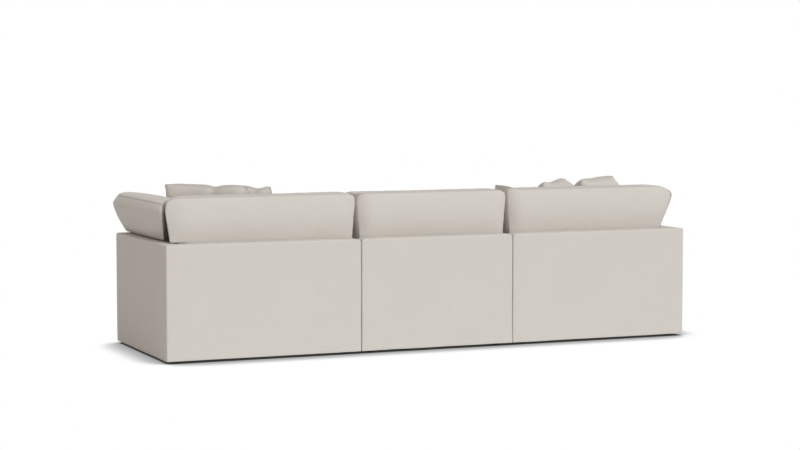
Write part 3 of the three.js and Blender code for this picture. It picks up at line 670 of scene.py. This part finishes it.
def finish_case(piece, seam_gap, seam_along, node, hold, seam=CASE_SEAM):
    """Sinks the seams and paints shade along them, puckers the cloth beside them and hands the piece over to
    the frame.
    """
    points = coordinates(piece)
    outward = normals(piece)
    along = seam_along / PUCKER_SIZE
    spots = [Vector((value, PUCKER_SLANT * value, PUCKER_DEPTH_PLACE)) for value in along]
    ripples = np.array([noise.noise(spot) for spot in spots])
    puckers = PUCKER * ripples * np.exp(-seam_gap / PUCKER_REACH)
    groove = seam * (seam_gap < SEAM_RING / 2)
    folds = CASE_RUMPLE * rumple(points, CASE_RUMPLE_SIZE, 5)
    # Painted shade: the seam attribute marks the seams, more strongly for deeper grooves, and the linen
    # darkens there.
    shade = piece.data.attributes.new("seam", "FLOAT", "POINT")
    shade.data.foreach_set("value", (seam / SHADED_SEAM * (seam_gap < SEAM_RING / 2)).astype(np.float32))
    move_to(piece, points + outward * ((puckers + folds) * hold - groove)[:, None])
    apply_modifier(piece, "SUBSURF", levels=1, render_levels=1)
    smooth_faces(piece, CASE_SMOOTH_ANGLE)
    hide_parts(node)
    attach(piece, f"{node}_body")


def seams_of_box(rest, low, high, panel_axis):
    """How far each point of a box is from its nearest panel seam, and how far along that seam."""
    gaps, ways = [], []
    others = [axis for axis in (X_AXIS, Y_AXIS, Z_AXIS) if axis != panel_axis]
    to_panel = np.minimum(rest[:, panel_axis] - low[panel_axis], high[panel_axis] - rest[:, panel_axis])
    for axis, other in (others, others[::-1]):
        for edge in (low[axis], high[axis]):
            gaps.append(np.hypot(np.abs(rest[:, axis] - edge), to_panel))
            ways.append(rest[:, other])
    nearest = np.argmin(gaps, axis=0)
    return np.min(gaps, axis=0), np.choose(nearest, ways)


def case_block(name, low, high, ledges=()):
    """A box of cloth cut to an even grid, with a narrow ring beside each seam."""
    block = start_block(name, low, high)
    for axis in (X_AXIS, Y_AXIS, Z_AXIS):
        cut_at(block, axis, [low[axis] + SEAM_RING, high[axis] - SEAM_RING])
    cut_at(block, Z_AXIS, ledges)
    divide_long_edges(block, CUSHION_CELL)
    lay_out_cloth(block)
    return block


def back_cushion(name, left_end, right_end):
    """An end has its gap to the module's side, its flare, the share that this starts with, the shoulder
    where it is widest, its top corner's drop and reach, how far back its front is and its roundness."""
    module_low, module_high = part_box(f"{name}_slipcover")
    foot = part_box(f"{name}_back_cushion")[0][Z_AXIS]
    rear = module_high[Y_AXIS] - WALL - CUSHION_GAP
    left, right = module_low[X_AXIS] + left_end["gap"], module_high[X_AXIS] - right_end["gap"]
    low, high = (left, rear - BACK_THICK, foot), (right, rear, foot + BACK_TALL)
    wall = WALL_TOP - foot
    piece = case_block(f"{name}_back_case", low, high, ledge_rows())
    rest = coordinates(piece)
    x, height = rest[:, X_AXIS], rest[:, Z_AXIS] - foot
    front_share = (rear - rest[:, Y_AXIS]) / BACK_THICK
    across = (2 * x - left - right) / (right - left)
    on_left = across < 0
    end = {key: np.where(on_left, value, right_end[key]) for key, value in left_end.items()}
    flare = end["flare"] * flare_share(height, wall, BACK_TALL, end["first"], end["shoulder"])
    flare = flare - end["back"] * front_share * ease(height / wall)
    flare = flare * np.sign(across) * np.abs(across) ** FLARE_BEND
    to_end = np.minimum(x - left, right - x)
    free = ease((height - wall) / FREE_EDGE)
    crown = ramp(to_end, CROWN_REACH) * ramp(BACK_TALL - height, CROWN_REACH)
    rear_crown = BACK_REAR_CROWN * crown * ramp(height - wall, CROWN_REACH)
    front_crown = BACK_FRONT_CROWN * crown * ramp(height, CROWN_REACH)
    rounded = end["round"] * np.maximum(free, FOOT_ROUND_SHARE)
    at_rear = rest[:, Y_AXIS] > rear - TINY
    at_front = rest[:, Y_AXIS] < rear - BACK_THICK + TINY
    at_end = to_end < TINY
    to_face = np.minimum(rear - rest[:, Y_AXIS], rest[:, Y_AXIS] - rear + BACK_THICK)
    drawn_y = rounded * (1 - ramp(to_end, BACK_ROUND))
    drawn_x = rounded * (1 - ramp(to_face, BACK_ROUND)) * at_end * END_DRAW_SHARE
    top_share = ease((height - wall) / (BACK_TALL - wall))
    corner = clamp01(1 - to_end / end["reach"]) ** CORNER_BEND
    lowered = top_share * (BACK_SAG + end["drop"] * corner)
    swell = BACK_TOP_SWELL * 4 * front_share * (1 - front_share) * (height > BACK_TALL - TINY)
    shaped = rest.copy()
    shaped[:, X_AXIS] += flare + drawn_x * np.where(on_left, 1, -1)
    shaped[:, Y_AXIS] += (1 - front_share) * rear_crown - front_share * front_crown
    shaped[:, Y_AXIS] += drawn_y * at_front - drawn_y * at_rear
    shaped[:, Z_AXIS] += swell - lowered
    move_to(piece, shaped)
    loose = ease((height - wall) / FREE_HEIGHT)
    hold = np.maximum(loose, ease((front_share - 0.5) / 0.5) * ramp(height, FOOT_RISE))
    inflate(piece, BACK_GIVE, hold)
    gap, along = seams_of_box(rest, low, high, Y_AXIS)
    piece.data.materials.append(cushion_linen)
    finish_case(piece, gap, along, f"{name}_back_cushion", hold)


back_cushion("corner", INNER_END, CORNER_ARM_END)
back_cushion("middle", INNER_END, OUTER_END)
back_cushion("chaise", CHAISE_ARM_END, CHAISE_OUTER_END)

# Arm cushion
# It stands beside the corner module's arm and leans out over it. A crowned boxing strip closes its top
# between two seams. Its rear end is squeezed in beside the back cushion, and over the arm it reaches
# farther back and meets that cushion's end on a slant.
ARM_CUSHION_THICK = 0.175
ARM_CUSHION_TALL = 0.43
ARM_CUSHION_OVERHANG = 0.119
ARM_CUSHION_LEAN = 0.082
ARM_CUSHION_FIRST_SHARE = 0.31
ARM_CUSHION_CROWN = 0.014
ARM_CUSHION_TOP = 0.017
LEANING_CROWN = 6.75
ARM_CUSHION_INNER_DROP = 0.014
ARM_CUSHION_REAR_DROP = 0.008
ARM_CUSHION_SEAM_SAG = 0.006
ARM_CUSHION_SEAM = 0.007
ARM_CUSHION_CORNER_DRAW = 0.008
ARM_CUSHION_FRONT_FLARE = 0.008
ARM_CUSHION_TUCK = 0.04
ARM_CUSHION_GIVE = 0.005
ARM_SHOULDER_SHARE = 0.74
ARM_FRONT_GAP = 0.018
NEAR_TOP = 0.045
CORNER_DRAW_REACH = 0.11
WING_LENGTH = 0.17
WING_START = 0.0045
WING_SLANT = 0.4
WING_STEP = 0.03
WING_STEP_REACH = 0.01


def arm_cushion(name):
    """The wing is the part that reaches farther back over the arm."""
    module_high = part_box(f"{name}_slipcover")[1]
    box_low, box_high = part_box(f"{name}_arm_cushion")
    outer = module_high[X_AXIS] - WALL - CUSHION_GAP
    foot = box_low[Z_AXIS]
    front = module_high[Y_AXIS] - ARM_LENGTH + ARM_FRONT_GAP
    rear = box_high[Y_AXIS]
    low = (outer - ARM_CUSHION_THICK, front, foot)
    high = (outer, rear, foot + ARM_CUSHION_TALL)
    piece = case_block(f"{name}_arm_case", low, high, ledge_rows())
    rest = coordinates(piece)
    y, height = rest[:, Y_AXIS], rest[:, Z_AXIS] - foot
    outer_share = 1 - (outer - rest[:, X_AXIS]) / ARM_CUSHION_THICK
    wall = WALL_TOP - foot
    full, inner = (
        flare_share(height, wall, ARM_CUSHION_TALL, first, ARM_SHOULDER_SHARE)
        for first in (ARM_CUSHION_FIRST_SHARE, 0)
    )
    tuck = ARM_CUSHION_TUCK * (1 - ramp(rear - y, CROWN_REACH))
    lean = outer_share * full * (ARM_CUSHION_OVERHANG - tuck) + (1 - outer_share) * inner * ARM_CUSHION_LEAN
    ends = ramp(y - front, CROWN_REACH) * ramp(rear - y, CROWN_REACH)
    crown = (1 - outer_share) * ARM_CUSHION_CROWN * ends * ramp(height, CROWN_REACH)
    front_flare = ARM_CUSHION_FRONT_FLARE * full * ease((rear - y) / (rear - front))
    on_top = height > ARM_CUSHION_TALL - TINY
    near_top = ease((height - ARM_CUSHION_TALL + NEAR_TOP) / NEAR_TOP)
    corner = near_top * (1 - ramp(y - front, CORNER_DRAW_REACH))
    swell = ARM_CUSHION_TOP * LEANING_CROWN * outer_share**2 * (1 - outer_share) * on_top
    seam_drop = ARM_CUSHION_INNER_DROP * (1 - outer_share) + ARM_CUSHION_SEAM_SAG * outer_share
    rear_drop = ARM_CUSHION_REAR_DROP * tuck / ARM_CUSHION_TUCK
    shaped = rest.copy()
    shaped[:, X_AXIS] += lean - crown - ARM_CUSHION_CORNER_DRAW / 2 * outer_share * corner
    beyond = np.maximum(0, shaped[:, X_AXIS] - outer - WING_START) / WING_SLANT
    wing = (beyond + WING_STEP * clamp01(beyond / WING_STEP_REACH)) * (full > 0)
    nearness = ease((y - rear + WING_LENGTH) / WING_LENGTH)
    shaped[:, Y_AXIS] += wing * nearness - front_flare + ARM_CUSHION_CORNER_DRAW * corner
    shaped[:, Z_AXIS] += swell - (seam_drop + rear_drop) * near_top
    move_to(piece, shaped)
    free = ease((height - wall) / FREE_EDGE)
    hold = np.maximum(free, (1 - outer_share) * ramp(height, FOOT_RISE))
    inflate(piece, ARM_CUSHION_GIVE, hold)
    gap, seam_along = seams_of_box(rest, low, high, X_AXIS)
    piece.data.materials.append(cushion_linen)
    finish_case(piece, gap, seam_along, f"{name}_arm_cushion", hold, ARM_CUSHION_SEAM)


arm_cushion("corner")

# Seat cushions
# Thick foam wrapped in fibre, in a boxed linen case with a seam round both panels. Each lies on its
# deck between the walls. The back and arm cushions press its rear and side flat, and the chaise's
# cushion steps out in front of the arm.
SEAT_FRONT_GAP = 0.014
SEAT_CROWN = 0.025
SEAT_REACH = 0.17
SEAT_SWELL = 0.009
PRESSED_DEPTH = 0.333
PRESSED_WIDTH = 0.292
SEAT_GIVE = 0.005
STEPPED_CELL_SHARE = 1.25
FRONT_HOLD_SHARE = 0.4
HOLD_RISE = 3


def seat_cushion(name, arm):
    """The arm is 1, -1 or 0, as for the slipcover under the cushion."""
    module_low, module_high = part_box(f"{name}_slipcover")
    foot, top = (corner[Z_AXIS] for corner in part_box(f"{name}_seat_cushion"))
    edge_top = top - SEAT_CROWN
    left = module_low[X_AXIS] + CUSHION_GAP
    right = module_high[X_AXIS] - CUSHION_GAP - (WALL if arm > 0 else 0)
    rear = module_high[Y_AXIS] - WALL - CUSHION_GAP
    front = module_low[Y_AXIS] + SEAT_FRONT_GAP
    arm_front = module_high[Y_AXIS] - ARM_LENGTH - CUSHION_GAP
    pressed_y = module_high[Y_AXIS] - PRESSED_DEPTH
    pressed_x = module_high[X_AXIS] - PRESSED_WIDTH if arm > 0 else right
    inner_left = module_low[X_AXIS] + WALL + CUSHION_GAP
    stepped = arm < 0
    block_rear = arm_front if stepped else rear
    piece = start_block(f"{name}_seat_case", (left, front, foot), (right, block_rear, edge_top))
    if stepped:
        cut_at(piece, X_AXIS, [inner_left])
        pick_faces(piece, lambda centre, normal: normal[Y_AXIS] > 0.5 and centre[X_AXIS] > inner_left)
        bpy.ops.mesh.extrude_region_move(TRANSFORM_OT_translate={"value": (0, rear - arm_front, 0)})
        bpy.ops.object.mode_set(mode="OBJECT")
        cut_at(piece, X_AXIS, [inner_left + SEAM_RING])
        cut_at(piece, Y_AXIS, [arm_front - SEAM_RING])
    cut_at(piece, X_AXIS, [left + SEAM_RING, right - SEAM_RING])
    cut_at(piece, Y_AXIS, [front + SEAM_RING, rear - SEAM_RING])
    cut_at(piece, Z_AXIS, [foot + SEAM_RING, edge_top - SEAM_RING])
    divide_long_edges(piece, CUSHION_CELL * (STEPPED_CELL_SHARE if stepped else 1))
    lay_out_cloth(piece)
    rest = coordinates(piece)
    x, y, z = rest.T
    crown = ramp(x - left, SEAT_REACH) * ramp(y - front, SEAT_REACH)
    crown *= ramp(pressed_x - x, SEAT_REACH) * ramp(pressed_y - y, SEAT_REACH)
    gaps = [np.abs(x - left), np.abs(x - right), np.abs(y - front), np.abs(y - rear)]
    ways = [y, y, x, x]
    if stepped:
        beside = x - inner_left
        ahead = arm_front - y
        crown *= np.where(y > arm_front, ramp(beside, SEAT_REACH), 1)
        crown *= np.where(y <= arm_front, ramp(np.hypot(np.maximum(0, beside), ahead), SEAT_REACH), 1)
        gaps[0] = np.where(y > arm_front + TINY, np.inf, gaps[0])
        gaps += [np.where(y >= arm_front, np.abs(beside), np.inf)]
        gaps += [np.where(beside <= 0, np.abs(ahead), np.inf)]
        ways += [y, x]
    up_share = (z - foot) / (edge_top - foot)
    to_panel = np.minimum(z - foot, edge_top - z)
    gaps = [np.hypot(gap, to_panel) for gap in gaps]
    nearest = np.argmin(gaps, axis=0)
    seam_gap, seam_along = np.min(gaps, axis=0), np.choose(nearest, ways)
    shaped = rest.copy()
    shaped[:, Z_AXIS] += SEAT_CROWN * crown * (up_share > 1 - TINY)
    at_front = y < front + TINY
    across = (2 * x - left - right) / (right - left)
    shaped[:, Y_AXIS] -= SEAT_SWELL * 4 * up_share * (1 - up_share) * at_front * (1 - across**4)
    move_to(piece, shaped)
    hold = clamp01(clamp01(crown * HOLD_RISE) * (up_share > 0.5) + FRONT_HOLD_SHARE * at_front)
    inflate(piece, SEAT_GIVE, hold)
    piece.data.materials.append(cushion_linen)
    finish_case(piece, seam_gap, seam_along, f"{name}_seat_cushion", hold)


seat_cushion("corner", 1)
seat_cushion("middle", 0)
seat_cushion("chaise", -1)

# Throw pillows
# Feather in a square linen case of two panels with a knife-edge seam: plump right up to the seam, with
# thin tips at the corners. Each stands on its lower edge and leans into its end of the sofa, and the
# smaller one leans towards the larger. Their upper edges hang in where a hand last held them.
PILLOW_THICK = 0.13
CORNER_PUFF = 0.055
CHAISE_PUFF = 0.15
PILLOW_EDGE = 0.005
PILLOW_SIDE_DRAW = 0.01
PILLOW_BLUNT = 0.007
PILLOW_CELL = 0.0125
PILLOW_GIVE = 0.007
PILLOW_FILL_SHARE = 0.9
SQUARENESS = 9
EDGE_POWER = 2.5
PLUMP_POWER = 0.52
BLUNT_POWER = 12
DENT_START_SHARE = 0.35
FULLNESS_START_SHARE = 0.3
FULLNESS_RISE_SHARE = 0.5
EDGE_HOLD_RISE = 8
WHOLE_EDGE = 9
pillow_linen = linen("pillow linen")


def throw_pillow(name, size, turn, lean, puff, dents):
    """The puff is how much fuller the rear is near its upper edge. Each dent of that edge has its place
    across, from -1 to 1, its depth and its width, which can be the whole edge."""
    half = size / 2
    piece = start_block(f"{name}_case", (-half, -PILLOW_EDGE / 2, 0), (half, PILLOW_EDGE / 2, size))
    cut_at(piece, X_AXIS, [SEAM_RING - half, half - SEAM_RING])
    cut_at(piece, Z_AXIS, [SEAM_RING, size - SEAM_RING])
    divide_long_edges(piece, PILLOW_CELL)
    lay_out_cloth(piece)
    rest = coordinates(piece)
    across = rest[:, X_AXIS] / half
    up = rest[:, Z_AXIS] / half - 1
    outness = clamp01((np.abs(across) ** SQUARENESS + np.abs(up) ** SQUARENESS) ** (1 / SQUARENESS))
    plump = (1 - outness**EDGE_POWER) ** PLUMP_POWER
    blunt = PILLOW_BLUNT * np.abs(across * up) ** BLUNT_POWER
    fallen = sum(depth * np.exp(-(((across - place) / width) ** 2)) for place, depth, width in dents)
    shaped = rest.copy()
    shaped[:, X_AXIS] -= across * (PILLOW_SIDE_DRAW * (1 - up**2) + blunt)
    shaped[:, Z_AXIS] -= fallen * ease((up - DENT_START_SHARE) / (1 - DENT_START_SHARE)) + up * blunt
    filling = np.sign(rest[:, Y_AXIS]) * (PILLOW_THICK - PILLOW_EDGE) / 2 * plump
    shaped[:, Y_AXIS] += filling * PILLOW_FILL_SHARE
    move_to(piece, shaped)
    hold = clamp01(EDGE_HOLD_RISE * (1 - np.abs(up)) + (up > 0))
    inflate(piece, PILLOW_GIVE, hold)
    rise = ease((up - FULLNESS_START_SHARE) / FULLNESS_RISE_SHARE)
    fullness = puff * plump * rise * (rest[:, Y_AXIS] > 0)
    place_like(piece, f"{name}_pillow", math.radians(lean), math.radians(turn), fullness)
    to_side, to_end = half - np.abs(rest[:, X_AXIS]), half - np.abs(rest[:, Z_AXIS] - half)
    along = np.where(to_side < to_end, rest[:, Z_AXIS], rest[:, X_AXIS])
    piece.data.materials.append(pillow_linen)
    finish_case(piece, np.minimum(to_side, to_end), along, f"{name}_pillow", hold)


def lean_and_turn(points, tilt, yaw):
    x, y, z = points.T
    leaned_y = y * math.cos(tilt) + z * math.sin(tilt)
    leaned_z = z * math.cos(tilt) - y * math.sin(tilt)
    turned_x = x * math.cos(yaw) - leaned_y * math.sin(yaw)
    turned_y = x * math.sin(yaw) + leaned_y * math.cos(yaw)
    return np.stack([turned_x, turned_y, leaned_z], axis=1)


def place_like(piece, node, tilt, yaw, fullness):
    """Leans and turns a pillow and stands it in the middle of its frame part's box, fuller at its rear."""
    points = coordinates(piece)
    turned = lean_and_turn(points, tilt, yaw)
    low, high = (np.array(corner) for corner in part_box(node))
    shift = (low + high) / 2 - (turned.min(axis=0) + turned.max(axis=0)) / 2
    shift[Z_AXIS] = low[Z_AXIS] - turned[:, Z_AXIS].min()
    points[:, Y_AXIS] += fullness
    move_to(piece, lean_and_turn(points, tilt, yaw) + shift)


throw_pillow("corner_large", 0.549, -46, 29, CORNER_PUFF, [(0, 0.009, WHOLE_EDGE), (-0.2, 0.013, 0.13)])
small_dents = [(0, 0.008, WHOLE_EDGE), (-0.58, 0.016, 0.22), (0.5, 0.02, 0.35)]
throw_pillow("corner_small", 0.492, -53, 17, CORNER_PUFF, small_dents)
throw_pillow("chaise_small", 0.48, 46, 18, CHAISE_PUFF, [(0.25, 0.014, 0.5)])
throw_pillow("chaise_large", 0.543, 40, 30, CHAISE_PUFF, [(0, 0.006, WHOLE_EDGE), (0.38, 0.004, 0.3)])

# Timber frames
# Sawn hardwood rails, posts, stretchers and corner blocks, glued and screwed together. They are left raw
# inside the covers, with saw marks across the grain.
TIMBER_PALE = (0.56, 0.39, 0.21, 1)
TIMBER_DARK = (0.36, 0.215, 0.095, 1)
TIMBER_ROUGH = (0.6, 0.8)
GRAIN_RELIEF = 0.0006
FIBRE_SCALES = (3, 130)
RING_SCALES = (0.6, 26)
SAW_SCALES = (160, 4)
RING_COUNT = 7
RING_SHARE = 0.4
SAW_SHARE = 0.6
RAMP_SHARES = (0.3, 0.7)


def object_material(name):
    """A material, its tree, its shader and the place on the object that its pattern reads."""
    material = bpy.data.materials.new(name)
    material.use_nodes = True
    tree = material.node_tree
    place = tree.nodes.new("ShaderNodeTexCoord").outputs["Object"]
    return material, tree, tree.nodes["Principled BSDF"], place


def two_tones(tree, amount, *tones):
    """A ramp between two tones of the same material."""
    tone_ramp = tree.nodes.new("ShaderNodeValToRGB")
    for step, share, tone in zip(tone_ramp.color_ramp.elements, RAMP_SHARES, tones):
        step.position = share
        step.color = tone
    tree.links.new(amount, tone_ramp.inputs["Fac"])
    return tone_ramp.outputs["Color"]


def between(tree, value, low, high):
    """A value from 0 to 1 brought to a range."""
    return math_node(tree, "ADD", math_node(tree, "MULTIPLY", value, high - low), low)


def blend(tree, first, second, second_share):
    """Two values added by their shares."""
    first_part = math_node(tree, "MULTIPLY", first, 1 - second_share)
    return math_node(tree, "ADD", first_part, math_node(tree, "MULTIPLY", second, second_share))


def raise_surface(tree, shader, height, relief):
    bump = tree.nodes.new("ShaderNodeBump")
    bump.inputs["Distance"].default_value = relief
    tree.links.new(height, bump.inputs["Height"])
    tree.links.new(bump.outputs["Normal"], shader.inputs["Normal"])


def finish_kept(material, *endings):
    """Gives the kept parts whose names end so their material."""
    for node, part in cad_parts.items():
        if node.rstrip("_0123456789").endswith(endings):
            for slot in part.material_slots:
                slot.material = material


def timber(name, along):
    """Grain that runs one way, with growth rings and saw marks."""
    material, tree, shader, place = object_material(name)
    patterns = []
    for scales, detail in ((FIBRE_SCALES, 4), (RING_SCALES, 2), (SAW_SCALES, 2)):
        stretch = [scales[0] if axis == along else scales[1] for axis in (X_AXIS, Y_AXIS, Z_AXIS)]
        patterns.append(noise_node(tree, stretched(tree, place, stretch), 1, detail))
    fibres, rings, saw = patterns
    banding = math_node(tree, "FRACT", math_node(tree, "MULTIPLY", rings, RING_COUNT), 0)
    amount = blend(tree, fibres, banding, RING_SHARE)
    tree.links.new(two_tones(tree, amount, TIMBER_DARK, TIMBER_PALE), shader.inputs["Base Color"])
    tree.links.new(between(tree, fibres, *TIMBER_ROUGH), shader.inputs["Roughness"])
    height = math_node(tree, "ADD", fibres, math_node(tree, "MULTIPLY", saw, SAW_SHARE))
    raise_surface(tree, shader, height, GRAIN_RELIEF)
    return material


finish_kept(timber("rail timber", X_AXIS), "base_frame")
finish_kept(timber("post timber", Z_AXIS), "back_frame", "arm_frame")

# Springs
# Zigzag springs of oiled wire, hooked into clips on the front and spring rails and tied across. The oil
# lies unevenly, over the fine scale of the drawn wire.
WIRE_DARK = (0.16, 0.165, 0.18, 1)
WIRE_PALE = (0.36, 0.365, 0.38, 1)
WIRE_ROUGH = (0.18, 0.48)
OIL_SCALE = 60
MILL_SCALE = 900
MILL_RELIEF = 0.00006


def oiled_wire():
    material, tree, shader, place = object_material("oiled spring wire")
    film = noise_node(tree, place, OIL_SCALE, 4)
    tree.links.new(two_tones(tree, film, WIRE_DARK, WIRE_PALE), shader.inputs["Base Color"])
    tree.links.new(between(tree, film, *WIRE_ROUGH), shader.inputs["Roughness"])
    shader.inputs["Metallic"].default_value = 1
    raise_surface(tree, shader, noise_node(tree, place, MILL_SCALE, 2), MILL_RELIEF)
    return material


finish_kept(oiled_wire(), "springs")

# Padding
# Bonded polyester wadding, stapled over the wall frames and laid over foam on the springs. It is soft,
# off-white and a little tufted by its bonding.
WADDING_PALE = (0.86, 0.83, 0.78, 1)
WADDING_DEEP = (0.72, 0.68, 0.61, 1)
WADDING_ROUGH = (0.88, 0.98)
WADDING_SHEEN = 0.2
WADDING_RELIEF = 0.002
TUFT_SCALE = 45
HAIR_STRETCH = (500, 120, 500)
HAIR_SHARE = 0.3


def wadding():
    material, tree, shader, place = object_material("bonded wadding")
    tufts = noise_node(tree, place, TUFT_SCALE, 5)
    hairs = noise_node(tree, stretched(tree, place, HAIR_STRETCH), 1, 3)
    fluff = blend(tree, tufts, hairs, HAIR_SHARE)
    tree.links.new(two_tones(tree, fluff, WADDING_DEEP, WADDING_PALE), shader.inputs["Base Color"])
    tree.links.new(between(tree, hairs, *WADDING_ROUGH), shader.inputs["Roughness"])
    shader.inputs["Sheen Weight"].default_value = WADDING_SHEEN
    raise_surface(tree, shader, fluff, WADDING_RELIEF)
    return material


finish_kept(wadding(), "back_padding", "arm_padding", "deck_pad")

# Dust covers
# Thin black non-woven cloth stapled under each frame, pressed with rows of fine dots that bond it.
# The dots are smoother and darker than the loose hairs between them.
DUST_DARK = (0.013, 0.013, 0.015, 1)
DUST_PALE = (0.034, 0.034, 0.037, 1)
DUST_ROUGH = 0.9
DUST_RELIEF = 0.0002
DUST_HAIR_SCALE = 700
DOT_PITCH = 0.0016
DOT_EDGE_SHARE = 0.45
DOT_DARKNESS = 0.2
DOT_SMOOTHNESS = 0.3


def dust_cloth():
    material, tree, shader, place = object_material("black non-woven cloth")
    apart = tree.nodes.new("ShaderNodeSeparateXYZ")
    tree.links.new(place, apart.inputs[0])
    rows = []
    for axis in "XY":
        turn = math_node(tree, "MULTIPLY", apart.outputs[axis], math.tau / DOT_PITCH)
        rows.append(math_node(tree, "SINE", turn, 0))
    dots = math_node(tree, "GREATER_THAN", math_node(tree, "MULTIPLY", *rows), DOT_EDGE_SHARE)
    hairs = noise_node(tree, place, DUST_HAIR_SCALE, 4)
    amount = math_node(tree, "SUBTRACT", hairs, math_node(tree, "MULTIPLY", dots, DOT_DARKNESS))
    roughness = math_node(tree, "SUBTRACT", DUST_ROUGH, math_node(tree, "MULTIPLY", dots, DOT_SMOOTHNESS))
    tree.links.new(two_tones(tree, amount, DUST_DARK, DUST_PALE), shader.inputs["Base Color"])
    tree.links.new(roughness, shader.inputs["Roughness"])
    raise_surface(tree, shader, amount, DUST_RELIEF)
    return material


finish_kept(dust_cloth(), "dust_cover")

# Feet
# Low moulded glides of black plastic, screwed up into the corner blocks. They have a fine moulded grain
# and paler scuffs.
PLASTIC_DARK = (0.011, 0.011, 0.012, 1)
PLASTIC_PALE = (0.028, 0.028, 0.029, 1)
PLASTIC_ROUGH = (0.4, 0.65)
PLASTIC_RELIEF = 0.00008
PLASTIC_GRAIN_SCALE = 1400
SCUFF_SCALE = 70


def glide_plastic():
    material, tree, shader, place = object_material("black moulded plastic")
    scuffs = noise_node(tree, place, SCUFF_SCALE, 5)
    tree.links.new(two_tones(tree, scuffs, PLASTIC_DARK, PLASTIC_PALE), shader.inputs["Base Color"])
    tree.links.new(between(tree, scuffs, *PLASTIC_ROUGH), shader.inputs["Roughness"])
    raise_surface(tree, shader, noise_node(tree, place, PLASTIC_GRAIN_SCALE, 2), PLASTIC_RELIEF)
    return material


finish_kept(glide_plastic(), "foot")

# Sliding clips
# A channel of pressed steel on the middle module and a blade on each end module, at two places on each
# seam. Both are zinc plated, with a faint crystal pattern.
ZINC_DARK = (0.4, 0.41, 0.42, 1)
ZINC_PALE = (0.56, 0.57, 0.58, 1)
ZINC_ROUGH = (0.25, 0.55)
ZINC_RELIEF = 0.0001
CRYSTAL_SCALE = 190
HAZE_SCALE = 35


def zinc_plate():
    material, tree, shader, place = object_material("zinc plated steel")
    crystals = tree.nodes.new("ShaderNodeTexVoronoi")
    crystals.inputs["Scale"].default_value = CRYSTAL_SCALE
    tree.links.new(place, crystals.inputs["Vector"])
    haze = noise_node(tree, place, HAZE_SCALE, 3)
    spangle = blend(tree, crystals.outputs["Distance"], haze, 0.5)
    tree.links.new(two_tones(tree, spangle, ZINC_DARK, ZINC_PALE), shader.inputs["Base Color"])
    tree.links.new(between(tree, spangle, *ZINC_ROUGH), shader.inputs["Roughness"])
    shader.inputs["Metallic"].default_value = 1
    raise_surface(tree, shader, haze, ZINC_RELIEF)
    return material


finish_kept(zinc_plate(), "clip", "blade")
